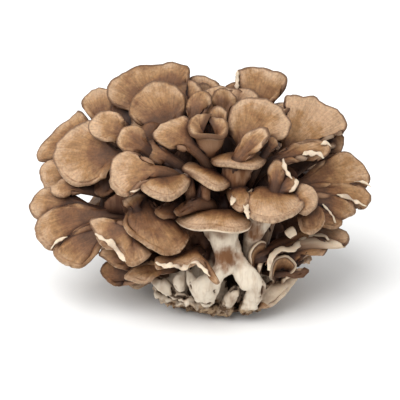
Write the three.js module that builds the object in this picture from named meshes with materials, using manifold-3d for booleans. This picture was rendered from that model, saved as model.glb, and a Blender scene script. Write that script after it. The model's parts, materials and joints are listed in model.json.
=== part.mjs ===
// A head of maitake mushroom, in millimetres, +Z up.
// The origin is the middle of the flat cut at the bottom of its butt.
// It grew as one piece: many thin caps on flattened stems that spring from one pale butt.
import * as THREE from 'three';
import { mergeVertices } from 'three/addons/utils/BufferGeometryUtils.js';
import Module from 'manifold-3d';

const wasm = await Module();
wasm.setup();

// Driving dimensions of the whole head
const CUT_RADIUS = 25;    // flat cut that the head rests on
const BUTT_RADIUS = 33;   // widest part of the pale butt
const BUTT_HEIGHT = 40;   // from the cut up to where the stems part
const HEART = new THREE.Vector3(0, 8, 24);         // where the stems spring from
const HEART_CENTRE = new THREE.Vector3(-6, 10, 46);  // the dense inner stems
const HEART_REACH = new THREE.Vector3(50, 42, 38);
const DOME_CENTRE = new THREE.Vector3(-6, 9, 42);  // middle of the dome of cap tips
const DOME_REACH = new THREE.Vector3(80, 58, 64);
// Caps of the far side, in rows from the crown down. Spread is how far each row runs round from
// the back, in degrees; reach is its share of the dome's width; lean is in degrees from upright
// over flat to hanging.
const BACK_ROWS = [
  { count: 5, height: 72, spread: 120, reach: 1, wide: 26, long: 24, lean: 42 },
  { count: 6, height: 54, spread: 92, reach: 1, wide: 33, long: 27, lean: 72 },
  { count: 7, height: 34, spread: 84, reach: 1, wide: 36, long: 29, lean: 96 },
  { count: 7, height: 13, spread: 84, reach: 0.98, wide: 35, long: 29, lean: 112 },
  { count: 6, height: -6, spread: 104, reach: 0.9, wide: 32, long: 27, lean: 122 },
  { count: 6, height: -20, spread: 116, reach: 0.75, wide: 28, long: 23, lean: 128 },
  { count: 5, height: -31, spread: 116, reach: 0.6, wide: 22, long: 18, lean: 130 },
];

// Rows of the sheet of a long near cap and of any other, from its foot over its neck to its margin
const NECK_AT = 0.34;
const LONG_CAP = 24;
const LONG_ROWS = [0, NECK_AT, 0.72, 1];
const SHORT_ROWS = [0, NECK_AT, 1];

// What a cap has where its row gives no other value. Spread is a stem's width at its foot
// against its neck, and share its thickness against its width.
const CAP = {
  rise: 3, roll: 1.5, arch: 1, wave: 0.7, stem: 3.4, spread: 1.2, share: 0.7, thick: 2, flare: 2,
  column: 15,
};
const SEED = 20461;

// The caps on the near side are placed as they are seen from the front and a little above.
// right and up are measured across that view, near is towards the viewer, all from the sight point.
const LOOK_DOWN = THREE.MathUtils.degToRad(22);
const VIEW_DISTANCE = 800;
const SIGHT = new THREE.Vector3(-8, 7, 48);

function turned(right, up, near) {
  const across = new THREE.Vector3(1, 0, 0);
  const upward = new THREE.Vector3(0, Math.sin(LOOK_DOWN), Math.cos(LOOK_DOWN));
  const toward = new THREE.Vector3(0, -Math.cos(LOOK_DOWN), Math.sin(LOOK_DOWN));
  return across.multiplyScalar(right).addScaledVector(upward, up).addScaledVector(toward, near);
}

function seen(right, up, near) {
  const shrink = (VIEW_DISTANCE - near) / VIEW_DISTANCE;
  return turned(right * shrink, up * shrink, near).add(SIGHT);
}

// Where the plane through a point, facing along facing, lies behind a place in the view
function onPlane([right, up], point, facing) {
  const flat = facing.dot(turned(right, up, 0));
  const depth = facing.dot(point) - facing.dot(SIGHT);
  const toward = facing.dot(turned(0, 0, 1));
  return seen(right, up, (depth - flat) / (toward - flat / VIEW_DISTANCE));
}

// Caps of the near side: the neck, the way the upper face looks, and the margin,
// given clockwise as one looks at the upper face.
const NEAR_CAPS = [
  { name: 'crown_back_left', neck: [-20, 43, 0], face: [-0.1, 0.35, 1],
    margin: [[-33, 43.5], [-44, 48], [-46, 56], [-39, 63.5], [-27, 67], [-14, 68.5], [-5.5, 65.5],
             [-6, 56], [-11, 46]] },
  { name: 'crown_left', neck: [-16, 36, 20], face: [-0.15, 0.35, 1],
    margin: [[-23, 36.5], [-31, 38.3], [-36, 44], [-34, 51], [-27, 57], [-19.5, 59], [-12, 56.5],
             [-7.5, 50.5], [-8.5, 42]] },
  { name: 'left_back_corner', neck: [-46, 36, -8], face: [-0.3, 0.4, 1],
    margin: [[-54, 40], [-58.5, 49.5], [-53, 54.5], [-46, 56], [-40, 53], [-38, 45]] },
  { name: 'left_upper_round', neck: [-38, 33, 26], face: [-0.35, 0.3, 1], roll: 2.5,
    margin: [[-42, 28.3], [-49, 29.7], [-54.5, 33.5], [-55.3, 38], [-51, 43], [-45, 44.2],
             [-39.5, 41.5], [-37, 37]] },
  { name: 'left_great_fan', neck: [-42, 22, 20], face: [-0.45, 0.25, 1],
    margin: [[-46, 10.5], [-55, 7.5], [-63, 7], [-69.5, 12], [-72.5, 20], [-70, 29], [-63, 36],
             [-55, 39.5], [-48, 36]] },
  { name: 'left_back_fan', neck: [-55, 28, -8], face: [-0.5, 0.3, 1],
    margin: [[-66, 20], [-80.5, 19.5], [-79.5, 26], [-74, 33], [-67.5, 39.5], [-60, 44],
             [-56.5, 40.5], [-54, 34]] },
  { name: 'left_back_lobe', neck: [-60, 13, -4], face: [-0.5, 0.3, 1],
    margin: [[-68, 5], [-76.5, 5.8], [-79.7, 10], [-79.7, 14.5], [-76, 19.3], [-69, 20.5]] },
  { name: 'left_knuckle', neck: [-58, 6, 12], face: [-0.4, 0.5, 1], roll: 2.5,
    margin: [[-63, 3], [-69.5, 1], [-73.6, 2.8], [-73.5, 6.5], [-69, 9.5], [-62, 9]] },
  { name: 'left_low_lobe', neck: [-56, -5, 12], face: [-0.4, 0.45, 1],
    margin: [[-72, -9], [-80.5, -10.5], [-84, -7], [-84.3, -3], [-82, 2], [-75, 5.5], [-66, 4]] },
  { name: 'left_low_fan', neck: [-50, -8, 18], face: [-0.4, 0.35, 1],
    margin: [[-60, -18], [-68, -20.5], [-75, -25.3], [-80, -20], [-83, -15.5], [-81.5, -10.5],
             [-75, -5], [-66, -3], [-57, -3]] },
  { name: 'left_low_tip', neck: [-46, -14, 22], face: [-0.35, 0.3, 1],
    margin: [[-50, -27], [-57, -32.3], [-62, -34.3], [-68, -32], [-73.2, -27.5], [-71.5, -22.5],
             [-65, -19], [-56, -13]] },
  { name: 'left_low_tongue', neck: [-33, -16, 36], face: [-0.3, 0.35, 1],
    margin: [[-30, -30], [-34.3, -34], [-39.5, -27.5], [-45, -25], [-51, -19], [-54.8, -12],
             [-52.5, -9.8], [-45, -10.5], [-39, -14]] },
  { name: 'low_left_grey', neck: [-33, -30, 28], face: [-0.2, 0.3, 1],
    margin: [[-35, -35.3], [-41, -34], [-46.5, -30.5], [-50, -27.5], [-47, -25], [-40, -25]] },
  { name: 'low_left_dark', neck: [-30, -38, 20], face: [-0.2, 0.2, 1],
    margin: [[-35, -41], [-42.5, -42.3], [-47.5, -39.5], [-50, -35.5], [-46.5, -31.8], [-41, -33],
             [-35, -36]] },
  { name: 'low_left_small', neck: [-20, -34, 30], face: [-0.1, 0.5, 1],
    margin: [[-24, -41], [-31, -41.8], [-37.5, -39], [-34, -36], [-28, -33], [-23, -31]] },
  { name: 'left_mid_round', neck: [-28, 26, 38], face: [-0.3, 0.3, 1], roll: 2.5,
    margin: [[-31, 23], [-36, 23], [-40, 26], [-41, 30], [-38.5, 35], [-34.5, 36.7], [-30, 35.5],
             [-26, 31]] },
  { name: 'kidney_left', neck: [-22, 14, 47], face: [-0.25, 0.4, 1], roll: 2.5,
    margin: [[-31, 8], [-34.5, 3], [-38, 1.7], [-43.5, 5.5], [-45.8, 11], [-44, 19], [-38.5, 23.3],
             [-32, 22.5], [-25.5, 17.5]] },
  { name: 'kidney_front', neck: [-20, 12, 46], face: [0.05, 0.6, 0.8], roll: 2.5, rise: 2,
    margin: [[-9, 12], [-5, 10.5], [-6.5, 6], [-10, 2], [-15, -0.6], [-21, -0.4], [-27, 2.5],
             [-30, 7], [-27, 10.5]] },
  { name: 'small_tongue', neck: [-17, 21, 38], face: [-0.3, 0.3, 1],
    margin: [[-19, 17.5], [-23.5, 19], [-27, 23.5], [-27, 27.5], [-24.5, 30], [-20, 27]] },
  { name: 'twisted', neck: [-4, 27, 40], face: [-0.15, 0.45, 1], roll: 3, arch: 2,
    margin: [[-8, 26.5], [-15, 25.7], [-20.5, 28], [-23.6, 32], [-21.5, 35.5], [-15, 39], [-9, 41.8],
             [-6, 39.5], [-5.5, 34]] },
  { name: 'long_lip', neck: [5, 12.5, 38], face: [0.25, 0.9, 0.42], rise: 1.5, roll: 2.5, stem: 5,
    share: 0.6, spread: 0.8, aim: [-0.2, -0.4, 0.9],
    margin: [[11, 11], [14.5, 7], [9, 4.2], [2, 7], [-5, 11.8], [-9.3, 14.8], [-6, 17.3], [-1, 15.5]] },
  { name: 'front_shelf', neck: [9, -8.5, 42], face: [0, 0.9, 0.42], rise: 1, roll: 3, arch: 0.5,
    stem: 10, share: 0.36, spread: 0.45, aim: [0, -0.4, 0.9], flare: 1.6, root: [12.5, -45, 25],
    margin: [[17, -8.5], [22, -10.8], [25.5, -13.5], [21, -16.5], [14, -17], [6, -15.6], [-3, -15.2],
             [-9.5, -13], [-12, -9.5], [-8, -7], [-1, -6]] },
  { name: 'low_kidney', neck: [-27, -3, 44], face: [0, 0.55, 0.85], roll: 2.5,
    margin: [[-20, -10], [-13, -14], [-7.5, -14.8], [-6, -19], [-9.5, -25], [-16, -28], [-24, -26],
             [-33, -21.5], [-38, -15], [-35.5, -8], [-31, -4]] },
  { name: 'low_kidney_flap', neck: [-32, -4, 38], face: [-0.2, 0.4, 1], rise: 1, roll: 0.5, stem: 2.5,
    margin: [[-34, -4], [-38.5, -1], [-36, 1.5], [-31, 3], [-27, 2]] },
  { name: 'dark_small', neck: [-13, -3, 40], face: [0, 0.5, 1], rise: 1.5,
    margin: [[-11, -8], [-15, -10.3], [-20, -9.5], [-23, -6.5], [-19, -4.3], [-14, -3.5]] },
  { name: 'dark_small_b', neck: [-1, -2, 44], face: [0, 0.5, 1], rise: 1.5,
    margin: [[-4, -6.5], [-10, -8], [-13, -7], [-12, -4.5], [-8, -2.5], [-3, -1]] },
  { name: 'low_arch', neck: [-3, -28, 40], face: [0, 0.7, 0.7], rise: 3, roll: 2,
    margin: [[9.5, -42], [6, -43.5], [3, -38], [-2, -34.5], [-8, -36.5], [-13, -34.8], [-18, -34.5],
             [-21.5, -35.5], [-22.5, -31.5], [-18, -28.5]] },
  { name: 'split_shelf', neck: [19, 4, 40], face: [-0.1, 0.8, 0.55], rise: 1, roll: 2, stem: 4.5,
    share: 0.6, spread: 0.8, aim: [-0.3, -0.4, 0.9], root: [22, -40, 22],
    margin: [[25, 2], [24, -3], [21.5, -6], [17, -4.5], [14.5, 0], [13, 5], [15, 6.5]] },
  { name: 'right_long_shelf', neck: [35, 2.5, 40], face: [0.05, 0.85, 0.5], rise: 1, roll: 3, arch: 0.5,
    stem: 9, share: 0.4, spread: 0.45, aim: [0, -0.4, 0.9], root: [25, -42, 22],
    margin: [[44, 4.3], [50, 1], [52.5, -3.5], [48, -7.5], [42, -10], [36.5, -12], [30, -9.6],
             [25, -7.5], [22.5, -3.5], [25, 1.5]] },
  { name: 'right_shelf_lobe', neck: [48, -2, 42], face: [0.25, 0.5, 1], roll: 2.5, rise: 2,
    margin: [[46, 3.5], [50, 6.7], [54.5, 7.3], [58, 4], [59, -0.5], [56.5, -5], [52, -7.5],
             [49, -7]] },
  { name: 'centre_shelf', neck: [19, 20, 38], face: [0, 0.93, 0.37], rise: 1.5, roll: 2.5,
    aim: [0, -0.4, 0.9], stem: 7, share: 0.5, spread: 0.7,
    margin: [[26, 22], [31, 22.3], [33, 19], [29, 15.6], [22, 15.3], [14, 16], [7.5, 17],
             [5.7, 19.3], [9, 20.8]] },
  { name: 'centre_fold', neck: [19, 20, 44], face: [-0.2, 0.3, 1],
    margin: [[21, 29], [24.5, 33], [29, 36], [33, 35.5], [35, 32], [32, 27.5], [27, 24]] },
  { name: 'crown_right', neck: [21, 26, 34], face: [0.1, 0.35, 1], rise: 4, roll: 2.5,
    margin: [[13.5, 34], [14.5, 41], [17.5, 47.5], [22, 50.8], [29, 50.8], [36, 49], [42, 44.5],
             [45, 38], [42.5, 32], [36, 30.3], [30, 27]] },
  { name: 'crown_back_right', neck: [28, 44, 0], face: [0.05, 0.3, 1], thick: 2.6,
    margin: [[19, 49], [18.7, 57], [19, 64.5], [24, 66], [29, 66.3], [37, 64.3], [42.3, 61.8],
             [43.3, 58], [40.5, 53.5], [35, 48]] },
  { name: 'right_great_fan', neck: [43, 24, 16], face: [0.3, 0.35, 1], rise: 4,
    margin: [[42, 45], [43, 52], [50, 51.5], [57, 51.3], [63, 47.8], [69, 44], [72.6, 38.5],
             [72.5, 34.5], [68, 33], [62, 30], [55, 25]] },
  { name: 'right_mid_fold', neck: [38, 19, 32], face: [0.3, 0.5, 1], roll: 2,
    margin: [[42, 24], [50, 28], [58, 30], [64, 28], [65, 25], [61, 21], [57, 22.3], [53, 22],
             [50, 19.5], [45, 18]] },
  { name: 'right_under_lobe', neck: [58, 22, 4], face: [0.4, 0.3, 1],
    margin: [[63, 30], [68.5, 33], [71.3, 30], [71, 25.5], [68, 22.5], [63, 20]] },
  { name: 'right_low_fan', neck: [52, 8, 16], face: [0.35, 0.35, 1],
    margin: [[58, 18], [66, 20.5], [71.5, 23.6], [77.5, 22], [82, 17.5], [84.3, 11], [83.5, 6.5],
             [76, 8], [68, 7], [60, 5]] },
  { name: 'right_low_fan_b', neck: [55, 4, 17], face: [0.35, 0.35, 1],
    margin: [[66, 8], [76, 8], [82, 6.5], [84.8, 1.5], [83.5, -3], [81.5, -4.3], [76, -1], [67, 1.2],
             [60, -0.5]] },
  { name: 'right_low_fan_c', neck: [54, 0, 19], face: [0.35, 0.35, 1],
    margin: [[60, -1], [66, 1], [72, 0.8], [77, -3], [77.5, -6.8], [72, -9.5], [65.5, -10.5],
             [59, -6]] },
  { name: 'right_low_fan_d', neck: [52, -4, 22], face: [0.4, 0.3, 1],
    margin: [[58, -3], [62.5, -5], [66, -10], [70, -10.5], [70.5, -13.5], [65, -15], [57, -13]] },
  { name: 'right_low_lobe', neck: [53, -2, 32], face: [0.2, 0.4, 1],
    margin: [[59, -4], [62, -9], [60.5, -14], [55.5, -17.6], [51, -15.5], [49, -11], [50, -6]] },
  { name: 'right_wave', neck: [34, -27, 34], face: [0.2, 0.75, 0.65], rise: 2, roll: 1,
    margin: [[42, -17], [52, -15], [62, -14.5], [70, -14.3], [75, -18.5], [73, -23], [68.5, -21.5],
             [62.5, -18], [56, -18], [51, -22.5], [47.5, -29], [43.5, -36]] },
  { name: 'right_curl', neck: [46, -28, 28], face: [0.2, 0.4, 1], rise: 1,
    margin: [[51, -22], [56, -20], [61, -20.3], [64, -23], [62.5, -27], [58, -24.5], [53, -26]] },
  { name: 'stub_dark_a', neck: [42, -37, 28], face: [0, 0.2, 1], stem: 1.6, rise: 0.3, roll: 0, thick: 3,
    arch: 0, wave: 0,
    margin: [[45, -35], [50, -36], [52, -34], [55, -35.5], [53, -38], [49, -38.5], [45, -38.5]] },
  { name: 'stub_dark_b', neck: [44, -33, 26], face: [0, 0.2, 1], stem: 1.5, rise: 0.3, roll: 0, thick: 2,
    arch: 0, wave: 0,
    margin: [[46, -31.5], [50, -29.8], [52.5, -30.3], [51, -32], [46.5, -34]] },
  { name: 'right_wing', neck: [28, -50, 22], face: [0.2, 0.3, 1], rise: 1, stem: 3,
    margin: [[33, -45], [36, -41], [42, -39.5], [48, -39], [45, -44], [41, -49], [34, -53.5],
             [28, -55.5]] },
  { name: 'bud_a', neck: [-3, 40, 25], face: [0, 0.3, 1], stem: 3, rise: 2,
    margin: [[-6, 44], [-6, 49], [-2, 53.6], [2, 54.4], [5.3, 51.5], [5.3, 47], [1.5, 43.5]] },
  { name: 'bud_b', neck: [9, 34, 31], face: [0, 0.3, 1], stem: 3, rise: 2,
    margin: [[5.3, 39], [5.2, 43], [8, 46], [11, 46.2], [13.6, 43], [12.8, 38.5]] },
  { name: 'bud_c', neck: [12, 43, 14], face: [0, 0.3, 1], stem: 3, rise: 2,
    margin: [[7, 47], [6.3, 52], [10, 55], [14.5, 55], [17.5, 51], [16, 46]] },
  { name: 'back_top_a', neck: [3, 48, -6], face: [0, 0.3, 1],
    margin: [[-6, 55], [-5, 60.5], [0, 61.8], [5, 61], [9.5, 57.5], [12, 54], [9, 50]] },
  { name: 'back_top_c', neck: [-4, 48, 6], face: [-0.2, 0.2, 1], rise: 2,
    margin: [[-6, 54], [-5, 60], [-1.5, 58], [1, 54.5], [0, 50]] },
  { name: 'back_top_b', neck: [17, 48, -10], face: [0, 0.3, 1], rise: 2,
    margin: [[12, 54], [13, 56.5], [16, 58.3], [20, 58], [21, 53]] },
  { name: 'spoon', neck: [5, 26, 40], face: [0, 0.8, 0.6], rise: 9, roll: 1, stem: 5,
    aim: [0, -0.6, 0.8],
    margin: [[2, 41.5], [10, 40], [14, 37], [13, 32], [7, 30.3], [1, 30.3], [-4, 32.5], [-6.5, 36],
             [-4, 40], [0, 42], [6, 41.3]] },
  { name: 'small_curl', neck: [33, 24, 38], face: [0.2, 0.4, 1], stem: 2, rise: 1,
    margin: [[33, 27], [34.5, 30], [37, 30.5], [38.6, 28], [37, 25.8]] },
  { name: 'right_tongue', neck: [38, 8, 42], face: [-0.1, 0.4, 1], rise: 2,
    margin: [[34, 11], [34.8, 16], [37.5, 19.8], [40.5, 19.5], [42, 15.5], [42, 10.5]] },
  { name: 'right_wedge', neck: [41, 5, 42], face: [0, 0.4, 1], rise: 1.5, stem: 3,
    margin: [[42, 9.5], [46.5, 11.4], [49.2, 9], [48, 5.5], [44, 3.5]] },
];

// Lumps and trunks of the butt that the front shows: an outline across the view, the depth of
// its front face above FALL_FROM, and its thickness
const FALL_FROM = -36;
const FALL = 0.9;
const TRUNKS = [
  {
    near: 22,
    back: 14,
    outline: [[-25, -40], [-21, -37], [-17.5, -36.5], [-14.5, -42], [-12.5, -45], [-15.5, -48],
              [-20, -45.5]],
  },
  {
    near: 25,
    back: 12,
    outline: [[-16.5, -36.5], [-7, -36.5], [-5, -40], [-6, -44], [-12, -43.5], [-15, -40]],
  },
  {
    near: 34,
    back: 20,
    outline: [[-6, -34], [1, -33], [4, -38], [6, -43], [9.5, -43.5], [11, -45], [10, -50],
              [5, -51.5], [1, -50], [-2, -49], [-4, -44]],
  },
  {
    near: 32,
    back: 22,
    outline: [[19, -20], [22, -24], [24, -30], [26, -34], [28, -38], [34, -42], [33, -47],
              [30, -51], [26, -54.5], [21, -54], [19, -50], [23, -45], [20, -38], [17.5, -33],
              [18, -27]],
  },
  {
    near: 33,
    back: 20,
    outline: [[8, -33], [18, -33], [18, -38], [12, -45.5], [8, -46], [5, -40]],
  },
  {
    near: 26,
    back: 16,
    outline: [[31, -38], [36, -38], [42, -39], [47, -39.5], [45, -44], [41, -49], [34, -54],
              [28, -55.5], [31, -48]],
  },
];

// A cap's frame: neck, facing, aim from the neck to the middle of the margin, and the margin's curve
function framed(row) {
  const cap = { ...CAP, ...row };
  const lifted = cap.neck.clone().addScaledVector(cap.facing, cap.rise - cap.roll);
  cap.edge = new THREE.CatmullRomCurve3(cap.margin, false, 'catmullrom', 0.5);
  cap.lifted = lifted;
  const tip = cap.edge.getPoint(0.5);
  cap.long = Math.max(tip.distanceTo(cap.neck), 5);
  cap.rows = cap.rows ?? (cap.long < LONG_CAP ? SHORT_ROWS : LONG_ROWS);
  const aim = (cap.toward ?? tip.sub(cap.neck)).clone();
  cap.aim = aim.addScaledVector(cap.facing, -aim.dot(cap.facing)).normalize();
  cap.side = new THREE.Vector3().crossVectors(cap.aim, cap.facing);
  const reaches = cap.margin.map((point) => Math.abs(point.clone().sub(cap.neck).dot(cap.side)));
  cap.half = Math.max(...reaches);
  const out = cap.neck.clone().sub(HEART);
  const sunk = new THREE.Vector3(out.x * 0.35, out.y * 0.35, Math.max(out.z * 0.2 - 6, -16));
  cap.foot = cap.foot ?? HEART.clone().add(sunk);
  const rising = cap.neck.clone().sub(cap.foot).normalize().add(new THREE.Vector3(0, 0, 0.6));
  const arriving = cap.aim.clone().multiplyScalar(Math.min(cap.long, 12));
  arriving.addScaledVector(cap.facing, 2 * cap.rise).normalize();
  const pull = 0.35 * cap.neck.distanceTo(cap.foot);
  cap.stalk = new THREE.CubicBezierCurve3(
    cap.foot,
    cap.foot.clone().addScaledVector(rising.normalize(), pull),
    cap.neck.clone().addScaledVector(arriving, -pull),
    cap.neck,
  );
  return cap;
}

function nearCap(row) {
  const facing = turned(...row.face).normalize();
  const neck = seen(...row.neck);
  const lift = (row.rise ?? CAP.rise) - (row.roll ?? CAP.roll);
  const lifted = neck.clone().addScaledVector(facing, lift);
  return framed({
    ...row,
    facing,
    neck,
    margin: row.margin.map((place) => onPlane(place, lifted, facing)),
    toward: row.aim && turned(...row.aim),
    foot: row.root && seen(...row.root),
  });
}

// A seeded draw between -1 and 1, the same in every run
let drawn = SEED;
function draw() {
  drawn = (drawn * 16807) % 2147483647;
  return 2 * (drawn / 2147483647) - 1;
}

// A cap whose tip lies on the dome: it leans from upright over flat to hanging
function farCap(row, turn) {
  const round = THREE.MathUtils.degToRad(turn + 4 * draw());
  const height = THREE.MathUtils.degToRad(row.height + 4 * draw());
  const ahead = new THREE.Vector3(Math.sin(round), Math.cos(round), 0);
  const upright = new THREE.Vector3(0, 0, 1);
  const tip = ahead.clone().multiplyScalar(Math.cos(height) * row.reach);
  tip.addScaledVector(upright, Math.sin(height)).multiply(DOME_REACH).add(DOME_CENTRE);
  const size = 1 + 0.2 * draw();
  const lean = THREE.MathUtils.degToRad(row.lean + 12 * draw());
  const sideways = new THREE.Vector3(ahead.y, -ahead.x, 0);
  const onward = ahead.clone().addScaledVector(sideways, 0.35 * draw());
  const aim = upright.clone().multiplyScalar(Math.cos(lean));
  aim.addScaledVector(onward, Math.sin(lean)).normalize();
  const facing = upright.clone().multiplyScalar(Math.sin(lean));
  facing.addScaledVector(ahead, -Math.cos(lean)).addScaledVector(sideways, 0.3 * draw());
  facing.addScaledVector(aim, -facing.dot(aim)).normalize();
  const long = row.long * size;
  const neck = tip.clone().addScaledVector(aim, -long).addScaledVector(facing, -3);
  const side = new THREE.Vector3().crossVectors(aim, facing);
  const lifted = neck.clone().addScaledVector(facing, CAP.rise - CAP.roll);
  const skew = 0.15 * draw();
  const margin = [];
  for (let place = 0; place <= 8; place += 1) {
    const angle = THREE.MathUtils.degToRad(-100 + 25 * place);
    const swell = 1 + skew * Math.sin(angle) + 0.06 * draw();
    const forward = long * (0.5 + 0.5 * Math.cos(angle)) * swell;
    const sidelong = 0.5 * row.wide * size * Math.sin(angle) * swell;
    margin.push(lifted.clone().addScaledVector(aim, forward).addScaledVector(side, sidelong));
  }
  return framed({ facing, neck, margin, stem: 0.12 * row.wide, column: 30, rows: SHORT_ROWS });
}

// The middle surface of a cap and its stem: along runs from the foot over the neck to the margin
function middle(cap, along, across) {
  if (along < NECK_AT) {
    const part = along / NECK_AT;
    const way = cap.stalk.getTangent(part);
    const side = cap.side.clone().addScaledVector(way, -cap.side.dot(way)).normalize();
    const half = cap.stem * (1 + (cap.spread - 1) * (1 - part));
    return cap.stalk.getPoint(part).addScaledVector(side, across * half);
  }
  const reach = (along - NECK_AT) / (1 - NECK_AT);
  const span = cap.edge.getPoint((across + 1) / 2).sub(cap.lifted);
  const sideways = span.dot(cap.side) / cap.half;
  const bowed = cap.arch * 2 * reach * (1 - reach) * (1 - sideways * sideways);
  const waved = cap.wave * reach * reach * Math.sin(11 * across + cap.phase);
  const height = cap.rise * (1 - (1 - reach) ** 2) - cap.roll * reach ** 4 + bowed + waved;
  return cap.neck.clone()
    .addScaledVector(span, reach)
    .addScaledVector(cap.side, (1 - reach) * across * cap.stem)
    .addScaledVector(cap.facing, height);
}

function halfThickness(cap, along, across) {
  const reach = Math.max((along - NECK_AT) / (1 - NECK_AT), 0);
  const atStem = cap.stem * cap.share;
  const flat = cap.thick / 2 + (atStem - cap.thick / 2) * (1 - reach) ** cap.flare;
  const rounding = 1 - 0.8 * across * across * Math.max(1 - 1.6 * reach, 0);
  return flat * Math.sqrt(Math.max(rounding, 0.05));
}

// A closed sheet: the two faces of a flat box, bent to the cap's middle surface
function sheet(cap) {
  const around = cap.edge.getLength();
  const columns = THREE.MathUtils.clamp(Math.round(around / cap.column), 3, 7);
  const box = new THREE.BoxGeometry(2, 1, 2, columns, cap.rows.length - 1, 1);
  alikeBelow(box);
  box.deleteAttribute('normal');
  box.deleteAttribute('uv');
  const solid = mergeVertices(box);
  const place = solid.getAttribute('position');
  const nudge = 1e-3;
  for (let i = 0; i < place.count; i += 1) {
    const across = place.getX(i);
    const along = cap.rows[Math.round((place.getY(i) + 0.5) * (cap.rows.length - 1))];
    const low = middle(cap, Math.max(along - nudge, 0), across);
    const high = middle(cap, Math.min(along + nudge, 1), across);
    const left = middle(cap, along, Math.max(across - nudge, -1));
    const right = middle(cap, along, Math.min(across + nudge, 1));
    const upward = right.sub(left).cross(high.sub(low)).normalize();
    const half = halfThickness(cap, along, across) * place.getZ(i);
    const point = middle(cap, along, across).addScaledVector(upward, half);
    place.setXYZ(i, point.x, point.y, point.z);
  }
  return solid;
}

// Splits the squares of the box's under face along the same diagonal as those of its upper face
function alikeBelow(box) {
  const under = box.groups[5];
  const index = box.getIndex();
  for (let i = under.start; i < under.start + under.count; i += 6) {
    const a = index.getX(i);
    const b = index.getX(i + 1);
    const d = index.getX(i + 2);
    const c = index.getX(i + 4);
    [a, b, c, a, c, d].forEach((corner, k) => index.setX(i + k, corner));
  }
}

function toSolid(geometry) {
  const merged = mergeVertices(geometry);
  return new wasm.Manifold(new wasm.Mesh({
    numProp: 3,
    vertProperties: merged.getAttribute('position').array,
    triVerts: new Uint32Array(merged.getIndex().array),
  }));
}

function bare(geometry) {
  geometry.deleteAttribute('normal');
  geometry.deleteAttribute('uv');
  return mergeVertices(geometry);
}

// The pale butt: turned about the cut's middle, then made uneven, with the cut kept flat
function butt() {
  const outline = [
    [0, 0],
    [CUT_RADIUS, 0],
    [CUT_RADIUS + 4, 4],
    [BUTT_RADIUS, 14],
    [BUTT_RADIUS, 28],
    [BUTT_RADIUS - 6, BUTT_HEIGHT],
    [0, BUTT_HEIGHT + 12],
  ].map(([radius, height]) => new THREE.Vector2(radius, height));
  const turnedButt = bare(new THREE.LatheGeometry(outline, 20));
  const place = turnedButt.getAttribute('position');
  for (let i = 0; i < place.count; i += 1) {
    const height = place.getY(i);
    const turn = Math.atan2(place.getZ(i), place.getX(i));
    const uneven = 1 + 0.05 * Math.sin(5 * turn + 1) + 0.04 * Math.sin(3 * turn + 0.2 * height);
    place.setXYZ(i, place.getX(i) * uneven, height, place.getZ(i) * uneven);
  }
  turnedButt.rotateX(Math.PI / 2);
  return turnedButt;
}

// A lump or trunk of the butt: its outline across the view, drawn back into the butt.
// Below FALL_FROM its front face falls back towards the cut.
function trunk({ near, back, outline }) {
  const shape = new THREE.Shape(outline.map(([right, up]) => new THREE.Vector2(right, up)));
  const block = bare(new THREE.ExtrudeGeometry(shape, { depth: back, bevelEnabled: false }));
  const place = block.getAttribute('position');
  for (let i = 0; i < place.count; i += 1) {
    const fall = FALL * Math.min(place.getY(i) - FALL_FROM, 0);
    const depth = near + fall - back + place.getZ(i);
    const point = seen(place.getX(i), place.getY(i), depth);
    place.setXYZ(i, point.x, point.y, Math.max(point.z, 1));
  }
  return block;
}

// The darker heart that the stems stand out of
function heart() {
  const lump = bare(new THREE.SphereGeometry(1, 16, 9));
  lump.rotateX(Math.PI / 2);
  lump.scale(HEART_REACH.x, HEART_REACH.y, HEART_REACH.z);
  lump.translate(HEART_CENTRE.x, HEART_CENTRE.y, HEART_CENTRE.z);
  return lump;
}

const caps = NEAR_CAPS.map(nearCap);
BACK_ROWS.forEach((row, level) => {
  const step = (2 * row.spread) / row.count;
  const offset = (level % 2) * 0.5 + 0.25;
  for (let index = 0; index < row.count; index += 1) {
    caps.push(farCap(row, -row.spread + step * (index + offset)));
  }
});
caps.forEach((cap, index) => {
  cap.phase = 1.7 * index;
});

const pieces = [butt(), heart(), ...TRUNKS.map(trunk), ...caps.map(sheet)].map(toSolid);
const fused = wasm.Manifold.union(pieces);

// The outer body alone: pockets that the fusing seals are filled, and loose scraps are dropped
const bodies = fused.decompose().sort((a, b) => b.volume() - a.volume());
const body = bodies[0].getMesh();
const geometry = new THREE.BufferGeometry();
geometry.setAttribute('position', new THREE.BufferAttribute(body.vertProperties, 3));
geometry.setIndex(new THREE.BufferAttribute(body.triVerts, 1));
geometry.computeVertexNormals();

const capBrown = new THREE.MeshStandardMaterial({ color: 0xa97f5a, roughness: 0.72, metalness: 0 });
const head = new THREE.Mesh(geometry, capBrown);
head.name = 'maitake_head';

const group = new THREE.Group();
group.add(head);
export default group;
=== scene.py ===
"""A head of maitake mushroom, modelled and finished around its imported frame."""
import json
import math

import bmesh
import bpy
import numpy
from bpy.props import FloatProperty, FloatVectorProperty, PointerProperty
from mathutils import Matrix, Vector, noise
from mathutils.bvhtree import BVHTree

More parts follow.
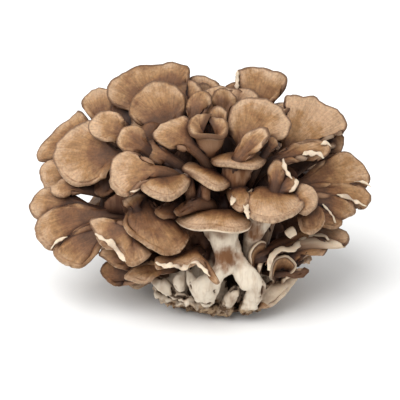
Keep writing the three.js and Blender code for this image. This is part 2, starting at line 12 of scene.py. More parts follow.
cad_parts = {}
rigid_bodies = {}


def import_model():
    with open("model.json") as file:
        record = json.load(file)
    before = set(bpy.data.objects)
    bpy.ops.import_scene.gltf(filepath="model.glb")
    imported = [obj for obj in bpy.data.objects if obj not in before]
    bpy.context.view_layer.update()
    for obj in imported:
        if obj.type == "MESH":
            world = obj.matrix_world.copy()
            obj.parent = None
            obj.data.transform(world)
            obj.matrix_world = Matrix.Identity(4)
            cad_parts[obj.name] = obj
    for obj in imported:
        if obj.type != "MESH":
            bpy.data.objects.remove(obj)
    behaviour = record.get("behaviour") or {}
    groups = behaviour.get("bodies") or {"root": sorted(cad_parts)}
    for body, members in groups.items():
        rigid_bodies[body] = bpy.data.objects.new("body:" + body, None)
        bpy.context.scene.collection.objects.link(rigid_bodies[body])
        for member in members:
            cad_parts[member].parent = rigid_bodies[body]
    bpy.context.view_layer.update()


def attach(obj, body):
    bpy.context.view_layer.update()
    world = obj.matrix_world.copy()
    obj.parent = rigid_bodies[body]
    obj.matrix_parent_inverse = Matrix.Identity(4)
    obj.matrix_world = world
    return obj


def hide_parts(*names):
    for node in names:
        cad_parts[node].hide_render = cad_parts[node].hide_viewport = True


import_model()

bl_info = {
    "name": "Maitake Mushroom Head",
    "version": (1, 0, 0),
    "blender": (4, 5, 0),
    "location": "View3D > Sidebar > Maitake",
    "description": "Builds a maitake head: caps, stems, pale butt and a plain studio",
    "category": "Add Mesh",
}

MM = 0.001
CAD_NODE = "maitake_head"
CAD_BODY = "root"

# How the near side is seen: right and up are measured across the view, near is towards the viewer,
# all in millimetres from the sight point.
LOOK_DOWN = math.radians(22)
VIEW_DISTANCE = 800
SIGHT = Vector((-8, 7, 48))

# The head's own places, in millimetres from the middle of its cut: where the stems come from,
# the dome of the far caps, and the bundle of stems behind the inner caps
HEART = Vector((0, 8, 24))
DOME_CENTRE = Vector((-6, 9, 42))
DOME_REACH = Vector((80, 58, 64))
BUNDLE_CENTRE = Vector((-6, 10, 46))
BUNDLE_REACH = Vector((50, 42, 38))
SEED = 20461

# What a cap has where its row gives no other value
CAP = {
    "rise": 3, "roll": 1.5, "arch": 1, "wave": 0.7, "stem": 3.4, "spread": 1.2, "share": 0.7,
    "thick": 2, "flare": 2, "pale": 0.3, "tone": 0.0, "cream": 0.8, "lumps": 1,
}
NECK_AT = 0.34

# Caps of the far side, in rows from the crown down. Spread is how far each row runs round from
# the back; reach and tall are its share of the dome's width and height; lean is in degrees
# from upright over flat to hanging.
BACK_ROWS = (
    {"count": 5, "height": 72, "spread": 48, "reach": 1, "tall": 1, "wide": 26, "long": 24,
     "lean": 42},
    {"count": 6, "height": 54, "spread": 66, "reach": 1, "tall": 1, "wide": 33, "long": 27,
     "lean": 72},
    {"count": 7, "height": 34, "spread": 84, "reach": 1, "tall": 1, "wide": 36, "long": 29,
     "lean": 96},
    {"count": 7, "height": 13, "spread": 84, "reach": 0.98, "tall": 1, "wide": 35, "long": 29,
     "lean": 112},
    {"count": 6, "height": -6, "spread": 104, "reach": 0.9, "tall": 1, "wide": 32, "long": 27,
     "lean": 122},
    {"count": 6, "height": -20, "spread": 116, "reach": 0.75, "tall": 1, "wide": 28, "long": 23,
     "lean": 128},
    {"count": 5, "height": -31, "spread": 116, "reach": 0.6, "tall": 1, "wide": 22, "long": 18,
     "lean": 130},
)

# Small caps inside the head that show between the larger ones
INNER_ROWS = (
    {"count": 7, "height": 60, "spread": 180, "reach": 0.5, "tall": 0.62, "wide": 15, "long": 13,
     "lean": 40},
    {"count": 10, "height": 34, "spread": 180, "reach": 0.55, "tall": 0.6, "wide": 16, "long": 14,
     "lean": 70},
    {"count": 12, "height": 8, "spread": 180, "reach": 0.58, "tall": 0.6, "wide": 16, "long": 14,
     "lean": 100},
    {"count": 10, "height": -14, "spread": 180, "reach": 0.6, "tall": 0.6, "wide": 15,
     "long": 13, "lean": 115},
)

# Caps of the near side: the neck, the way the upper face looks, and the margin,
# given clockwise as one looks at the upper face. Tone darkens or lightens a cap's skin; the low tones
# of the caps deep inside the head and of low_left_dark are painted shade.
NEAR_CAPS = (
    {"name": "crown_back_left", "neck": (-20, 43, 0), "face": (-0.1, 0.35, 1), "tone": -0.4,
     "margin": ((-33, 43.5), (-44, 48), (-46, 56), (-39, 63.5), (-27, 67), (-14, 68.5), (-5.5, 65.5),
                (-6, 56), (-11, 46))},
    {"name": "crown_left", "neck": (-16, 36, 20), "face": (-0.15, 0.35, 1), "tone": -0.55,
     "margin": ((-23, 36.5), (-31, 38.3), (-36, 44), (-34, 51), (-27, 57), (-19.5, 59), (-12, 56.5),
                (-7.5, 50.5), (-8.5, 42))},
    {"name": "left_back_corner", "neck": (-46, 36, -8), "face": (-0.3, 0.4, 1),
     "margin": ((-54, 40), (-58.5, 49.5), (-53, 54.5), (-46, 56), (-40, 53), (-38, 45))},
    {"name": "left_upper_round", "neck": (-38, 33, 26), "face": (-0.35, 0.3, 1), "roll": 2.5,
     "tone": -0.2,
     "margin": ((-42, 28.3), (-49, 29.7), (-54.5, 33.5), (-55.3, 38), (-51, 43), (-45, 44.2),
                (-39.5, 41.5), (-37, 37))},
    {"name": "left_great_fan", "neck": (-42, 22, 20), "face": (-0.45, 0.25, 1), "tone": 0.3,
     "margin": ((-46, 10.5), (-55, 7.5), (-63, 7), (-69.5, 12), (-72.5, 20), (-70, 29), (-63, 36),
                (-55, 39.5), (-48, 36))},
    {"name": "left_back_fan", "neck": (-55, 28, -8), "face": (-0.5, 0.3, 1), "tone": -0.3,
     "margin": ((-66, 20), (-80.5, 19.5), (-79.5, 26), (-74, 33), (-67.5, 39.5), (-60, 44),
                (-56.5, 40.5), (-54, 34))},
    {"name": "left_back_lobe", "neck": (-60, 13, -4), "face": (-0.5, 0.3, 1),
     "margin": ((-68, 5), (-76.5, 5.8), (-79.7, 10), (-79.7, 14.5), (-76, 19.3), (-69, 20.5))},
    # left_inside: its tone of -1.8 is painted shade, as it lies deep inside the head
    {"name": "left_inside", "neck": (-38, 15, 12), "face": (-0.3, 0.3, 1), "tone": -1.8,
     "margin": ((-42, 4), (-49, 1.5), (-53, 6), (-53, 13), (-47, 19), (-40, 20))},
    {"name": "left_knuckle", "neck": (-58, 6, 12), "face": (-0.4, 0.5, 1), "roll": 2.5, "tone": -0.3,
     "margin": ((-63, 3), (-69.5, 1), (-73.6, 2.8), (-73.5, 6.5), (-69, 9.5), (-62, 9))},
    {"name": "left_low_lobe", "neck": (-56, -5, 12), "face": (-0.4, 0.45, 1), "tone": -0.3,
     "margin": ((-72, -9), (-80.5, -10.5), (-84, -7), (-84.3, -3), (-82, 2), (-75, 5.5), (-66, 4))},
    {"name": "left_low_fan", "neck": (-50, -8, 18), "face": (-0.4, 0.35, 1), "tone": -0.35,
     "margin": ((-60, -18), (-68, -20.5), (-75, -25.3), (-80, -20), (-83, -15.5), (-81.5, -10.5),
                (-75, -5), (-66, -3), (-57, -3))},
    {"name": "left_low_tip", "neck": (-46, -14, 22), "face": (-0.35, 0.3, 1), "tone": -0.6,
     "margin": ((-50, -27), (-57, -32.3), (-62, -34.3), (-68, -32), (-73.2, -27.5), (-71.5, -22.5),
                (-65, -19), (-56, -13))},
    {"name": "left_low_tongue", "neck": (-33, -16, 36), "face": (-0.3, 0.35, 1),
     "margin": ((-24, -27), (-29.5, -31.5), (-34.5, -33.5), (-38, -29), (-41.5, -25.4), (-48, -24),
                (-52.5, -17), (-55, -11.5), (-52.5, -9.8), (-45, -10.5), (-39, -14))},
    {"name": "low_left_grey", "neck": (-33, -30, 28), "face": (-0.2, 0.3, 1), "tone": -0.6,
     "margin": ((-35, -35.3), (-41, -34), (-46.5, -30.5), (-50, -27.5), (-47, -25), (-40, -25))},
    # low_left_dark: its tone of -1.8 is painted shade on a top that lies in shadow
    {"name": "low_left_dark", "neck": (-30, -38, 20), "face": (-0.2, 0.2, 1), "tone": -1.8,
     "margin": ((-35, -41), (-42.5, -42.3), (-47.5, -39.5), (-50, -35.5), (-46.5, -31.8), (-41, -33),
                (-35, -36))},
    {"name": "low_left_small", "neck": (-20, -34, 30), "face": (-0.1, 0.5, 1),
     "margin": ((-24, -41), (-31, -41.8), (-37.5, -39), (-34, -36), (-28, -33), (-23, -31))},
    {"name": "left_mid_round", "neck": (-28, 26, 38), "face": (-0.3, 0.3, 1), "roll": 2.5,
     "margin": ((-31, 23), (-36, 23), (-40, 26), (-41, 30), (-38.5, 35), (-34.5, 36.7), (-30, 35.5),
                (-26, 31))},
    {"name": "kidney_left", "neck": (-22, 14, 47), "face": (-0.25, 0.4, 1), "roll": 2.5, "tone": 0.6,
     "margin": ((-31, 8), (-34.5, 3), (-38, 1.7), (-43.5, 5.5), (-45.8, 11), (-44, 19),
                (-38.5, 23.3), (-32, 22.5), (-25.5, 17.5))},
    {"name": "kidney_front", "neck": (-17, 10, 46), "face": (0.1, 0.85, 0.5), "roll": 3, "rise": 1,
     "arch": 0.5, "wave": 0.2, "lumps": 0.4, "tone": 0.3,
     "margin": ((-7, 12), (-4.6, 10), (-6, 5.6), (-10, 2), (-15, -0.4), (-21, -0.2), (-26.5, 2.6),
                (-29.5, 6), (-26, 8.6))},
    # kidney_hollow and kidney_inside: their tones of -1.8 are painted shade deep inside the head
    {"name": "kidney_hollow", "neck": (-22, 28, 22), "face": (-0.1, 0.3, 1), "tone": -1.8,
     "margin": ((-20, 23), (-26, 23), (-31, 27), (-31, 33), (-26, 38), (-19, 38))},
    {"name": "kidney_inside", "neck": (-20, 18, 34), "face": (-0.1, 0.35, 1), "tone": -1.8,
     "margin": ((-9, 15), (-7, 11), (-12, 7.5), (-20, 6), (-28, 8), (-31, 13), (-28, 18))},
    {"name": "small_tongue", "neck": (-17, 21, 38), "face": (-0.3, 0.3, 1),
     "margin": ((-19, 17.5), (-23.5, 19), (-27, 23.5), (-27, 27.5), (-24.5, 30), (-20, 27))},
    {"name": "twisted", "neck": (-4, 27, 40), "face": (-0.15, 0.45, 1), "roll": 3, "arch": 2,
     "margin": ((-8, 26.5), (-15, 25.7), (-20.5, 28), (-23.6, 32), (-21.5, 35.5), (-15, 39),
                (-9, 41.8), (-6, 39.5), (-5.5, 34))},
    {"name": "long_lip", "neck": (5, 12.5, 38), "face": (0.25, 0.9, 0.42), "rise": 1.5, "roll": 2.5,
     "wave": 0.1, "lumps": 0.3, "stem": 5, "share": 0.6, "spread": 0.8, "aim": (-0.2, -0.4, 0.9),
     "tone": 0.3,
     "margin": ((11, 11), (14.5, 7), (9, 4.2), (2, 7), (-5, 11.8), (-9.3, 14.8), (-6, 17.3),
                (-1, 15.5))},
    {"name": "front_shelf", "neck": (9, -8.5, 42), "face": (0, 0.9, 0.42), "rise": 1, "roll": 3,
     "arch": 0.5, "wave": 0.2, "lumps": 0.4, "stem": 10, "share": 0.36, "spread": 0.45,
     "aim": (0, -0.4, 0.9), "flare": 1.6, "root": (12.5, -28, 33), "pale": 1, "tone": 0.5,
     "margin": ((17, -8.5), (22, -10.8), (25.5, -13.5), (21, -16.5), (14, -17), (6, -15.6),
                (-3, -15.2), (-9.5, -13), (-12, -9.5), (-8, -7), (-1, -6))},
    {"name": "low_kidney", "neck": (-29, -1, 33), "face": (0, 0.55, 0.85), "roll": 2.5, "tone": -0.6,
     "margin": ((-22.5, -6), (-18.5, -11.5), (-12.5, -15.6), (-6.5, -17.5), (-6.5, -22), (-10, -26),
                (-16, -27.8), (-22, -26.4), (-28.5, -22.5), (-34.5, -18), (-37.5, -13), (-35, -7),
                (-33.5, -3))},
    {"name": "low_kidney_flap", "neck": (-32, -4, 38), "face": (-0.2, 0.4, 1), "rise": 1,
     "roll": 0.5, "stem": 2.5,
     "margin": ((-34, -4), (-38.5, -1), (-36, 1.5), (-31, 3), (-27, 2))},
    {"name": "dark_small", "neck": (-13, -3, 40), "face": (0, 0.5, 1), "rise": 1.5, "tone": -1.3,
     "margin": ((-11, -8), (-15, -10.3), (-20, -9.5), (-23, -6.5), (-19, -4.3), (-14, -3.5))},
    {"name": "dark_small_b", "neck": (-1, -2, 44), "face": (0, 0.5, 1), "rise": 1.5, "tone": -1.2,
     "margin": ((-4, -6.5), (-10, -8), (-13, -7), (-12, -4.5), (-8, -2.5), (-3, -1))},
    {"name": "low_arch", "neck": (-3, -27, 40), "face": (0, 0.7, 0.7), "rise": 3, "roll": 2,
     "tone": -0.5,
     "margin": ((9.8, -41.4), (8.4, -42.4), (5.6, -39.6), (2.6, -35.4), (-1.6, -32.6), (-5, -33.4),
                (-9, -35), (-13, -33.8), (-18, -34), (-21.5, -34.5), (-22.5, -31), (-18, -28))},
    {"name": "split_shelf", "neck": (19, 4, 40), "face": (-0.1, 0.8, 0.55), "rise": 1, "roll": 2,
     "wave": 0.1, "lumps": 0.3, "stem": 4.5, "share": 0.6, "spread": 0.8, "aim": (-0.3, -0.4, 0.9),
     "root": (22, -40, 22), "tone": -0.2,
     "margin": ((25, 2), (24, -3), (21.5, -6), (17, -4.5), (14.5, 0), (13, 5), (15, 6.5))},
    {"name": "right_long_shelf", "neck": (35, 2.5, 40), "face": (0.05, 0.85, 0.5), "rise": 1,
     "roll": 3, "arch": 0.5, "wave": 0.1, "lumps": 0.3, "stem": 9, "share": 0.4, "spread": 0.45,
     "aim": (0, -0.4, 0.9), "root": (25, -42, 22), "pale": 0.5, "tone": 0.9,
     "margin": ((44, 4.3), (49.5, 2.2), (52, -2.5), (49.2, -6.7), (43, -10.2), (36.7, -11.7),
                (30, -10.9), (24.8, -8.8), (22.5, -3.5), (25, 2.5))},
    {"name": "right_shelf_lobe", "neck": (48, -2, 42), "face": (0.25, 0.5, 1), "roll": 2.5,
     "rise": 2, "tone": 0.6,
     "margin": ((46, 3.5), (50, 6.7), (54.5, 7.3), (58, 4), (59, -0.5), (56.5, -5), (52, -7.5),
                (49, -7))},
    {"name": "centre_shelf", "neck": (19, 20, 38), "face": (0, 0.93, 0.37), "rise": 1.5, "roll": 2.5,
     "wave": 0.1, "lumps": 0.3, "aim": (0, -0.4, 0.9), "stem": 8.5, "share": 0.45, "spread": 0.6,
     "tone": 0.4,
     "margin": ((26, 22), (31, 22.3), (33, 19), (29, 15.6), (22, 15.3), (14, 16), (7.5, 17),
                (5.7, 19.3), (9, 20.8))},
    {"name": "centre_fold", "neck": (19, 20, 44), "face": (-0.2, 0.3, 1),
     "margin": ((21, 29), (24.5, 33), (29, 36), (33, 35.5), (35, 32), (32, 27.5), (27, 24))},
    {"name": "crown_right", "neck": (21, 26, 34), "face": (0.1, 0.35, 1), "rise": 4, "roll": 2.5,
     "tone": 0.5,
     "margin": ((13.5, 34), (14.5, 41), (17.5, 47.5), (22, 50.8), (29, 50.8), (36, 49), (42, 44.5),
                (45, 38), (42.5, 32), (36, 30.3), (30, 27))},
    # crown_inside: its tone of -1.8 is painted shade deep inside the head
    {"name": "crown_inside", "neck": (-32, 32, -2), "face": (-0.2, 0.35, 1), "tone": -1.8,
     "margin": ((-34, 38), (-41, 41), (-44, 47), (-39, 52), (-31, 53), (-26, 46))},
    {"name": "crown_back_right", "neck": (28, 44, 0), "face": (0.05, 0.3, 1), "thick": 2.6,
     "margin": ((19, 49), (18.7, 57), (19, 64.5), (24, 66), (29, 66.3), (37, 64.3), (42.3, 61.8),
                (43.3, 58), (40.5, 53.5), (35, 48))},
    {"name": "right_great_fan", "neck": (43, 24, 16), "face": (0.3, 0.35, 1), "rise": 4, "tone": 0.9,
     "margin": ((42, 45), (43, 52), (50, 51.5), (57, 51.3), (63, 47.8), (69, 44), (72.6, 38.5),
                (72.5, 34.5), (68, 33), (62, 30), (55, 25))},
    {"name": "right_mid_fold", "neck": (38, 19, 32), "face": (0.3, 0.5, 1), "roll": 2, "tone": -0.2,
     "margin": ((42, 24), (50, 28), (58, 30), (64, 28), (65, 25), (61, 21), (57, 22.3), (53, 22),
                (50, 19.5), (45, 18))},
    {"name": "right_under_lobe", "neck": (58, 22, 4), "face": (0.4, 0.3, 1), "tone": -0.5,
     "margin": ((63, 30), (68.5, 33), (71.3, 30), (71, 25.5), (68, 22.5), (63, 20))},
    {"name": "right_low_fan", "neck": (52, 8, 16), "face": (0.35, 0.35, 1), "tone": -0.35,
     "margin": ((58, 18), (66, 20.5), (71.5, 23.6), (77.5, 22), (82, 17.5), (84.3, 11), (83.5, 6.5),
                (76, 8), (68, 7), (60, 5))},
    {"name": "right_low_fan_b", "neck": (55, 4, 17), "face": (0.35, 0.35, 1), "tone": -0.3,
     "margin": ((66, 8), (76, 8), (82, 6.5), (84.8, 1.5), (83.5, -3), (81.5, -4.3), (76, -1),
                (67, 1.2), (60, -0.5))},
    {"name": "right_low_fan_c", "neck": (54, 0, 19), "face": (0.35, 0.35, 1), "tone": -0.3,
     "margin": ((60, -1), (66, 1), (72, 0.8), (77, -3), (77.5, -6.8), (72, -9.5), (65.5, -10.5),
                (59, -6))},
    {"name": "right_low_fan_d", "neck": (52, -4, 22), "face": (0.4, 0.3, 1), "tone": -0.5,
     "margin": ((58, -3), (62.5, -5), (66, -10), (70, -10.5), (70.5, -13.5), (65, -15), (57, -13))},
    {"name": "right_low_lobe", "neck": (53, -2, 32), "face": (0.2, 0.4, 1), "tone": -0.4,
     "margin": ((59, -4), (62, -9), (60.5, -14), (55.5, -17.6), (51, -15.5), (49, -11), (50, -6))},
    {"name": "right_wave", "neck": (34, -27, 34), "face": (0.2, 0.75, 0.65), "rise": 2, "roll": 1,
     "tone": -0.4,
     "margin": ((42, -17), (52, -15), (62, -14.5), (70, -14.3), (75, -18.5), (73, -23), (68.5, -22),
                (64, -20), (60, -18), (55, -19.4), (50, -22.5), (43.7, -26), (38.7, -26.5),
                (35, -29), (32.5, -33))},
    {"name": "right_curl", "neck": (46, -28, 28), "face": (0.2, 0.4, 1), "rise": 1,
     "margin": ((51, -22), (56, -20), (61, -20.3), (64, -23), (62.5, -27), (58, -24.5), (53, -26))},
    {"name": "stub_dark_a", "neck": (42, -37, 28), "face": (0, 0.2, 1), "stem": 1.6, "rise": 0.3,
     "roll": 0, "thick": 3, "arch": 0, "wave": 0, "tone": -6,
     "margin": ((45, -35), (50, -36), (52, -34), (55, -35.5), (53, -38), (49, -38.5), (45, -38.5))},
    {"name": "stub_dark_b", "neck": (44, -33, 26), "face": (0, 0.2, 1), "stem": 1.5, "rise": 0.3,
     "roll": 0, "thick": 2, "arch": 0, "wave": 0, "tone": -6,
     "margin": ((46, -31.5), (50, -29.8), (52.5, -30.3), (51, -32), (46.5, -34))},
    {"name": "right_wing", "neck": (28, -50, 22), "face": (0.2, 0.3, 1), "pale": 1.5, "rise": 1,
     "stem": 3, "tone": 1, "root": (34, -40, 8),
     "margin": ((33, -45), (36, -41), (42, -39.5), (48, -39), (45, -44), (41, -49), (34, -53.5),
                (28, -55.5))},
    {"name": "bud_a", "neck": (-3, 40, 25), "face": (0, 0.3, 1), "stem": 3, "rise": 2,
     "margin": ((-6, 44), (-6, 49), (-2, 53.6), (2, 54.4), (5.3, 51.5), (5.3, 47), (1.5, 43.5))},
    {"name": "bud_b", "neck": (9, 34, 31), "face": (0, 0.3, 1), "stem": 3, "rise": 2,
     "margin": ((5.3, 39), (5.2, 43), (8, 46), (11, 46.2), (13.6, 43), (12.8, 38.5))},
    {"name": "bud_c", "neck": (12, 43, 14), "face": (0, 0.3, 1), "stem": 3, "rise": 2,
     "margin": ((7, 47), (6.3, 52), (10, 55), (14.5, 55), (17.5, 51), (16, 46))},
    {"name": "back_top_a", "neck": (3, 48, -6), "face": (0, 0.3, 1),
     "margin": ((-6, 55), (-5, 60.5), (0, 61.8), (5, 61), (9.5, 57.5), (12, 54), (9, 50))},
    {"name": "back_top_c", "neck": (-4, 48, 6), "face": (-0.2, 0.2, 1), "rise": 2,
     "margin": ((-6, 54), (-5, 60), (-1.5, 58), (1, 54.5), (0, 50))},
    {"name": "back_top_b", "neck": (17, 48, -10), "face": (0, 0.3, 1), "rise": 2,
     "margin": ((12, 54), (13, 56.5), (16, 58.3), (20, 58), (21, 53))},
    {"name": "spoon", "neck": (5, 26, 40), "face": (0, 0.8, 0.6), "rise": 9, "roll": 1, "stem": 5,
     "aim": (0, -0.6, 0.8), "pale": -0.8, "cream": 0.35, "tone": -0.6,
     "margin": ((2, 41.5), (10, 40), (14, 37), (13, 32), (7, 30.3), (1, 30.3), (-4, 32.5),
                (-6.5, 36), (-4, 40), (0, 42), (6, 41.3))},
    {"name": "small_curl", "neck": (33, 24, 38), "face": (0.2, 0.4, 1), "stem": 2, "rise": 1,
     "margin": ((33, 27), (34.5, 30), (37, 30.5), (38.6, 28), (37, 25.8))},
    {"name": "right_tongue", "neck": (38, 8, 42), "face": (-0.1, 0.4, 1), "rise": 2,
     "margin": ((34, 11), (34.8, 16), (37.5, 19.8), (40.5, 19.5), (42, 15.5), (42, 10.5))},
    {"name": "right_wedge", "neck": (41, 5, 42), "face": (0, 0.4, 1), "rise": 1.5, "stem": 3,
     "margin": ((42, 9.5), (46.5, 11.4), (49.2, 9), (48, 5.5), (44, 3.5))},
)


class Tree:
    """A material's nodes, written as plain calls."""

    def __init__(self, name):
        self.material = bpy.data.materials.new(name)
        self.material.use_nodes = True
        self.nodes = self.material.node_tree.nodes
        self.links = self.material.node_tree.links
        self.shader = self.nodes["Principled BSDF"]

    def node(self, kind, settings=None, **sockets):
        """Adds a node: settings first, then its sockets' values or links, by name or number."""
        made = self.nodes.new(kind)
        for name, value in (settings or {}).items():
            setattr(made, name, value)
        for name, value in sockets.items():
            key = int(name[1:]) if name[0] == "i" and name[1:].isdigit() else name.replace("_", " ")
            self.feed(made.inputs[key], value)
        return made

    def feed(self, socket, value):
        """Links a socket, or sets its plain value."""
        if isinstance(value, Value):
            self.links.new(value.socket, socket)
        elif isinstance(value, bpy.types.NodeSocket):
            self.links.new(value, socket)
        elif socket.type == "RGBA":
            socket.default_value = (*value[:3], 1)
        else:
            socket.default_value = value

    def attribute(self, name):
        return Value(self, self.node("ShaderNodeAttribute", {"attribute_name": name}).outputs["Fac"])

    def mix(self, factor, low, high, blend="MIX"):
        """Mixes two colours."""
        made = self.node("ShaderNodeMix", {"data_type": "RGBA", "blend_type": blend})
        self.feed(made.inputs[0], factor)
        self.feed(made.inputs[6], low)
        self.feed(made.inputs[7], high)
        return made.outputs[2]

    def ramp(self, value, stops):
        """Colours at given values, blended between them."""
        made = self.node("ShaderNodeValToRGB", None, Fac=value)
        band = made.color_ramp.elements
        while len(band) < len(stops):
            band.new(0.5)
        for element, (position, colour) in zip(band, stops):
            element.position = position
            element.color = (*colour, 1)
        return made.outputs["Color"]

    def noise(self, vector, scale, detail=4.0, roughness=0.55):
        made = self.node("ShaderNodeTexNoise", None, Vector=vector, Scale=scale, Detail=detail,
                         Roughness=roughness)
        return Value(self, made.outputs["Fac"])

    def step(self, value, low, high):
        """A smooth step from 0 at low to 1 at high."""
        made = self.node("ShaderNodeMapRange", {"interpolation_type": "SMOOTHSTEP"}, Value=value)
        made.inputs["From Min"].default_value = low
        made.inputs["From Max"].default_value = high
        return Value(self, made.outputs["Result"])


class Value:
    """A number that varies over a surface, so that shader maths reads as an expression."""

    def __init__(self, tree, socket):
        self.tree = tree
        self.socket = socket

    def maths(self, operation, first, second):
        made = self.tree.node("ShaderNodeMath", {"operation": operation})
        self.tree.feed(made.inputs[0], first)
        self.tree.feed(made.inputs[1], second)
        return Value(self.tree, made.outputs[0])

    def __add__(self, other):
        return self.maths("ADD", self, other)

    def __radd__(self, other):
        return self.maths("ADD", other, self)

    def __sub__(self, other):
        return self.maths("SUBTRACT", self, other)

    def __rsub__(self, other):
        return self.maths("SUBTRACT", other, self)

    def __mul__(self, other):
        return self.maths("MULTIPLY", self, other)

    def __rmul__(self, other):
        return self.maths("MULTIPLY", other, self)

    def __pow__(self, other):
        return self.maths("POWER", self, other)


def turned(right, up, near):
    """Turns a direction across the view into the head's own axes."""
    return Vector((
        right,
        up * math.sin(LOOK_DOWN) - near * math.cos(LOOK_DOWN),
        up * math.cos(LOOK_DOWN) + near * math.sin(LOOK_DOWN),
    ))


def seen(right, up, near):
    """The place in the head of a point that the view shows at right and up, at a depth of near."""
    shrink = (VIEW_DISTANCE - near) / VIEW_DISTANCE
    return turned(right * shrink, up * shrink, near) + SIGHT


def on_plane(place, point, facing):
    """Where the plane through a point, facing along facing, lies behind a place in the view."""
    right, up = place
    flat = facing.dot(turned(right, up, 0))
    depth = facing.dot(point - SIGHT)
    toward = facing.dot(turned(0, 0, 1))
    return seen(right, up, (depth - flat) / (toward - flat / VIEW_DISTANCE))


def spline(points, part):
    """A point of the smooth curve through points, part of the way from the first to the last."""
    count = len(points) - 1
    run = min(max(part, 0), 1) * count
    index = min(int(run), count - 1)
    part = run - index
    start, end = points[index], points[index + 1]
    before = points[index - 1] if index > 0 else 2 * start - end
    after = points[index + 2] if index + 2 <= count else 2 * end - start
    leave, arrive = (end - before) / 2, (after - start) / 2
    cubic = 2 * start - 2 * end + leave + arrive
    square = -3 * start + 3 * end - 2 * leave - arrive
    return ((cubic * part + square) * part + leave) * part + start


class Draw:
    """Seeded draws between -1 and 1, the same in every run."""

    def __init__(self, seed):
        self.state = seed

    def __call__(self):
        self.state = self.state * 16807 % 2147483647
        return 2 * (self.state / 2147483647) - 1


class Cap:
    """One cap and its stem, as a middle surface with a thickness."""

    def __init__(self, row, neck, facing, margin, toward=None, foot=None):
        for name, value in {**CAP, **row}.items():
            setattr(self, name, value)
        self.neck, self.facing, self.margin = neck, facing, margin
        self.lifted = neck + facing * (self.rise - self.roll)
        tip = spline(margin, 0.5)
        self.long = max((tip - neck).length, 5)
        aim = toward or (tip - neck)
        self.aim = (aim - facing * aim.dot(facing)).normalized()
        self.side = self.aim.cross(facing)
        self.half = max(abs((point - neck).dot(self.side)) for point in margin)
        out = neck - HEART
        self.foot = foot or HEART + Vector((out.x * 0.35, out.y * 0.35, max(out.z * 0.2 - 6, -16)))
        rising = ((neck - self.foot).normalized() + Vector((0, 0, 0.6))).normalized()
        arriving = (self.aim * min(self.long, 12) + facing * 2 * self.rise).normalized()
        pull = 0.35 * (neck - self.foot).length
        self.stalk = (self.foot, self.foot + rising * pull, neck - arriving * pull, neck)

    def middle(self, along, across):
        """A point of the middle surface: along runs from the foot over the neck to the margin."""
        if along < NECK_AT:
            return self.stem_point(along / NECK_AT, across)
        reach = (along - NECK_AT) / (1 - NECK_AT)
        span = spline(self.margin, (across + 1) / 2) - self.lifted
        sideways = span.dot(self.side) / self.half
        bowed = self.arch * 2 * reach * (1 - reach) * (1 - sideways * sideways)
        waved = self.wave * reach * reach * math.sin(11 * across + self.phase)
        height = self.rise * (1 - (1 - reach) ** 2) - self.roll * reach ** 4 + bowed + waved
        place = self.neck + span * reach + self.side * ((1 - reach) * across * self.stem)
        return place + self.facing * height

    def stem_point(self, part, across):
        rest = 1 - part
        a, b, c, d = self.stalk
        place = a * rest ** 3 + b * (3 * rest * rest * part)
        place += c * (3 * rest * part * part) + d * part ** 3
        way = (b - a) * (rest * rest) + (c - b) * (2 * rest * part) + (d - c) * (part * part)
        way.normalize()
        side = (self.side - way * self.side.dot(way)).normalized()
        return place + side * (across * self.stem * (1 + (self.spread - 1) * rest))


def near_cap(row):
    facing = turned(*row["face"]).normalized()
    neck = seen(*row["neck"])
    lift = row.get("rise", CAP["rise"]) - row.get("roll", CAP["roll"])
    lifted = neck + facing * lift
    margin = [on_plane(place, lifted, facing) for place in row["margin"]]
    toward = turned(*row["aim"]) if "aim" in row else None
    foot = seen(*row["root"]) if "root" in row else None
    return Cap(row, neck, facing, margin, toward, foot)


def far_cap(name, row, turn, draw):
    """A cap whose tip lies on the dome: it leans from upright over flat to hanging."""
    round_ = math.radians(turn + 4 * draw())
    height = math.radians(row["height"] + 4 * draw())
    ahead = Vector((math.sin(round_), math.cos(round_), 0))
    upright = Vector((0, 0, 1))
    share = Vector((row["reach"], row["reach"], row["tall"]))
    tip = (ahead * math.cos(height) + upright * math.sin(height)) * DOME_REACH * share + DOME_CENTRE
    size = 1 + 0.2 * draw()
    lean = math.radians(row["lean"] + 12 * draw())
    turned_by = 0.35 * draw()
    sideways = Vector((ahead.y, -ahead.x, 0))
    aim = (upright * math.cos(lean) + (ahead + sideways * turned_by) * math.sin(lean)).normalized()
    facing = upright * math.sin(lean) - ahead * math.cos(lean) + sideways * (0.3 * draw())
    facing = (facing - aim * facing.dot(aim)).normalized()
    long = row["long"] * size
    neck = tip - aim * long - facing * 3
    side = aim.cross(facing)
    lifted = neck + facing * (CAP["rise"] - CAP["roll"])
    skew = 0.15 * draw()
    margin = []
    for place in range(9):
        angle = math.radians(-100 + 25 * place)
        swell = 1 + skew * math.sin(angle) + 0.06 * draw()
        forward = long * (0.5 + 0.5 * math.cos(angle)) * swell
        sidelong = 0.5 * row["wide"] * size * math.sin(angle) * swell
        margin.append(lifted + aim * forward + side * sidelong)
    return Cap({"name": name, "stem": 0.12 * row["wide"]}, neck, facing, margin)


def ring_of_caps(label, rows, draw):
    """Caps in rows round the dome."""
    caps = []
    for level, row in enumerate(rows):
        step = 2 * row["spread"] / row["count"]
        offset = (level % 2) * 0.5 + 0.25
        for index in range(row["count"]):
            turn = -row["spread"] + step * (index + offset)
            caps.append(far_cap(f"{label}_{level}_{index}", row, turn, draw))
    return caps


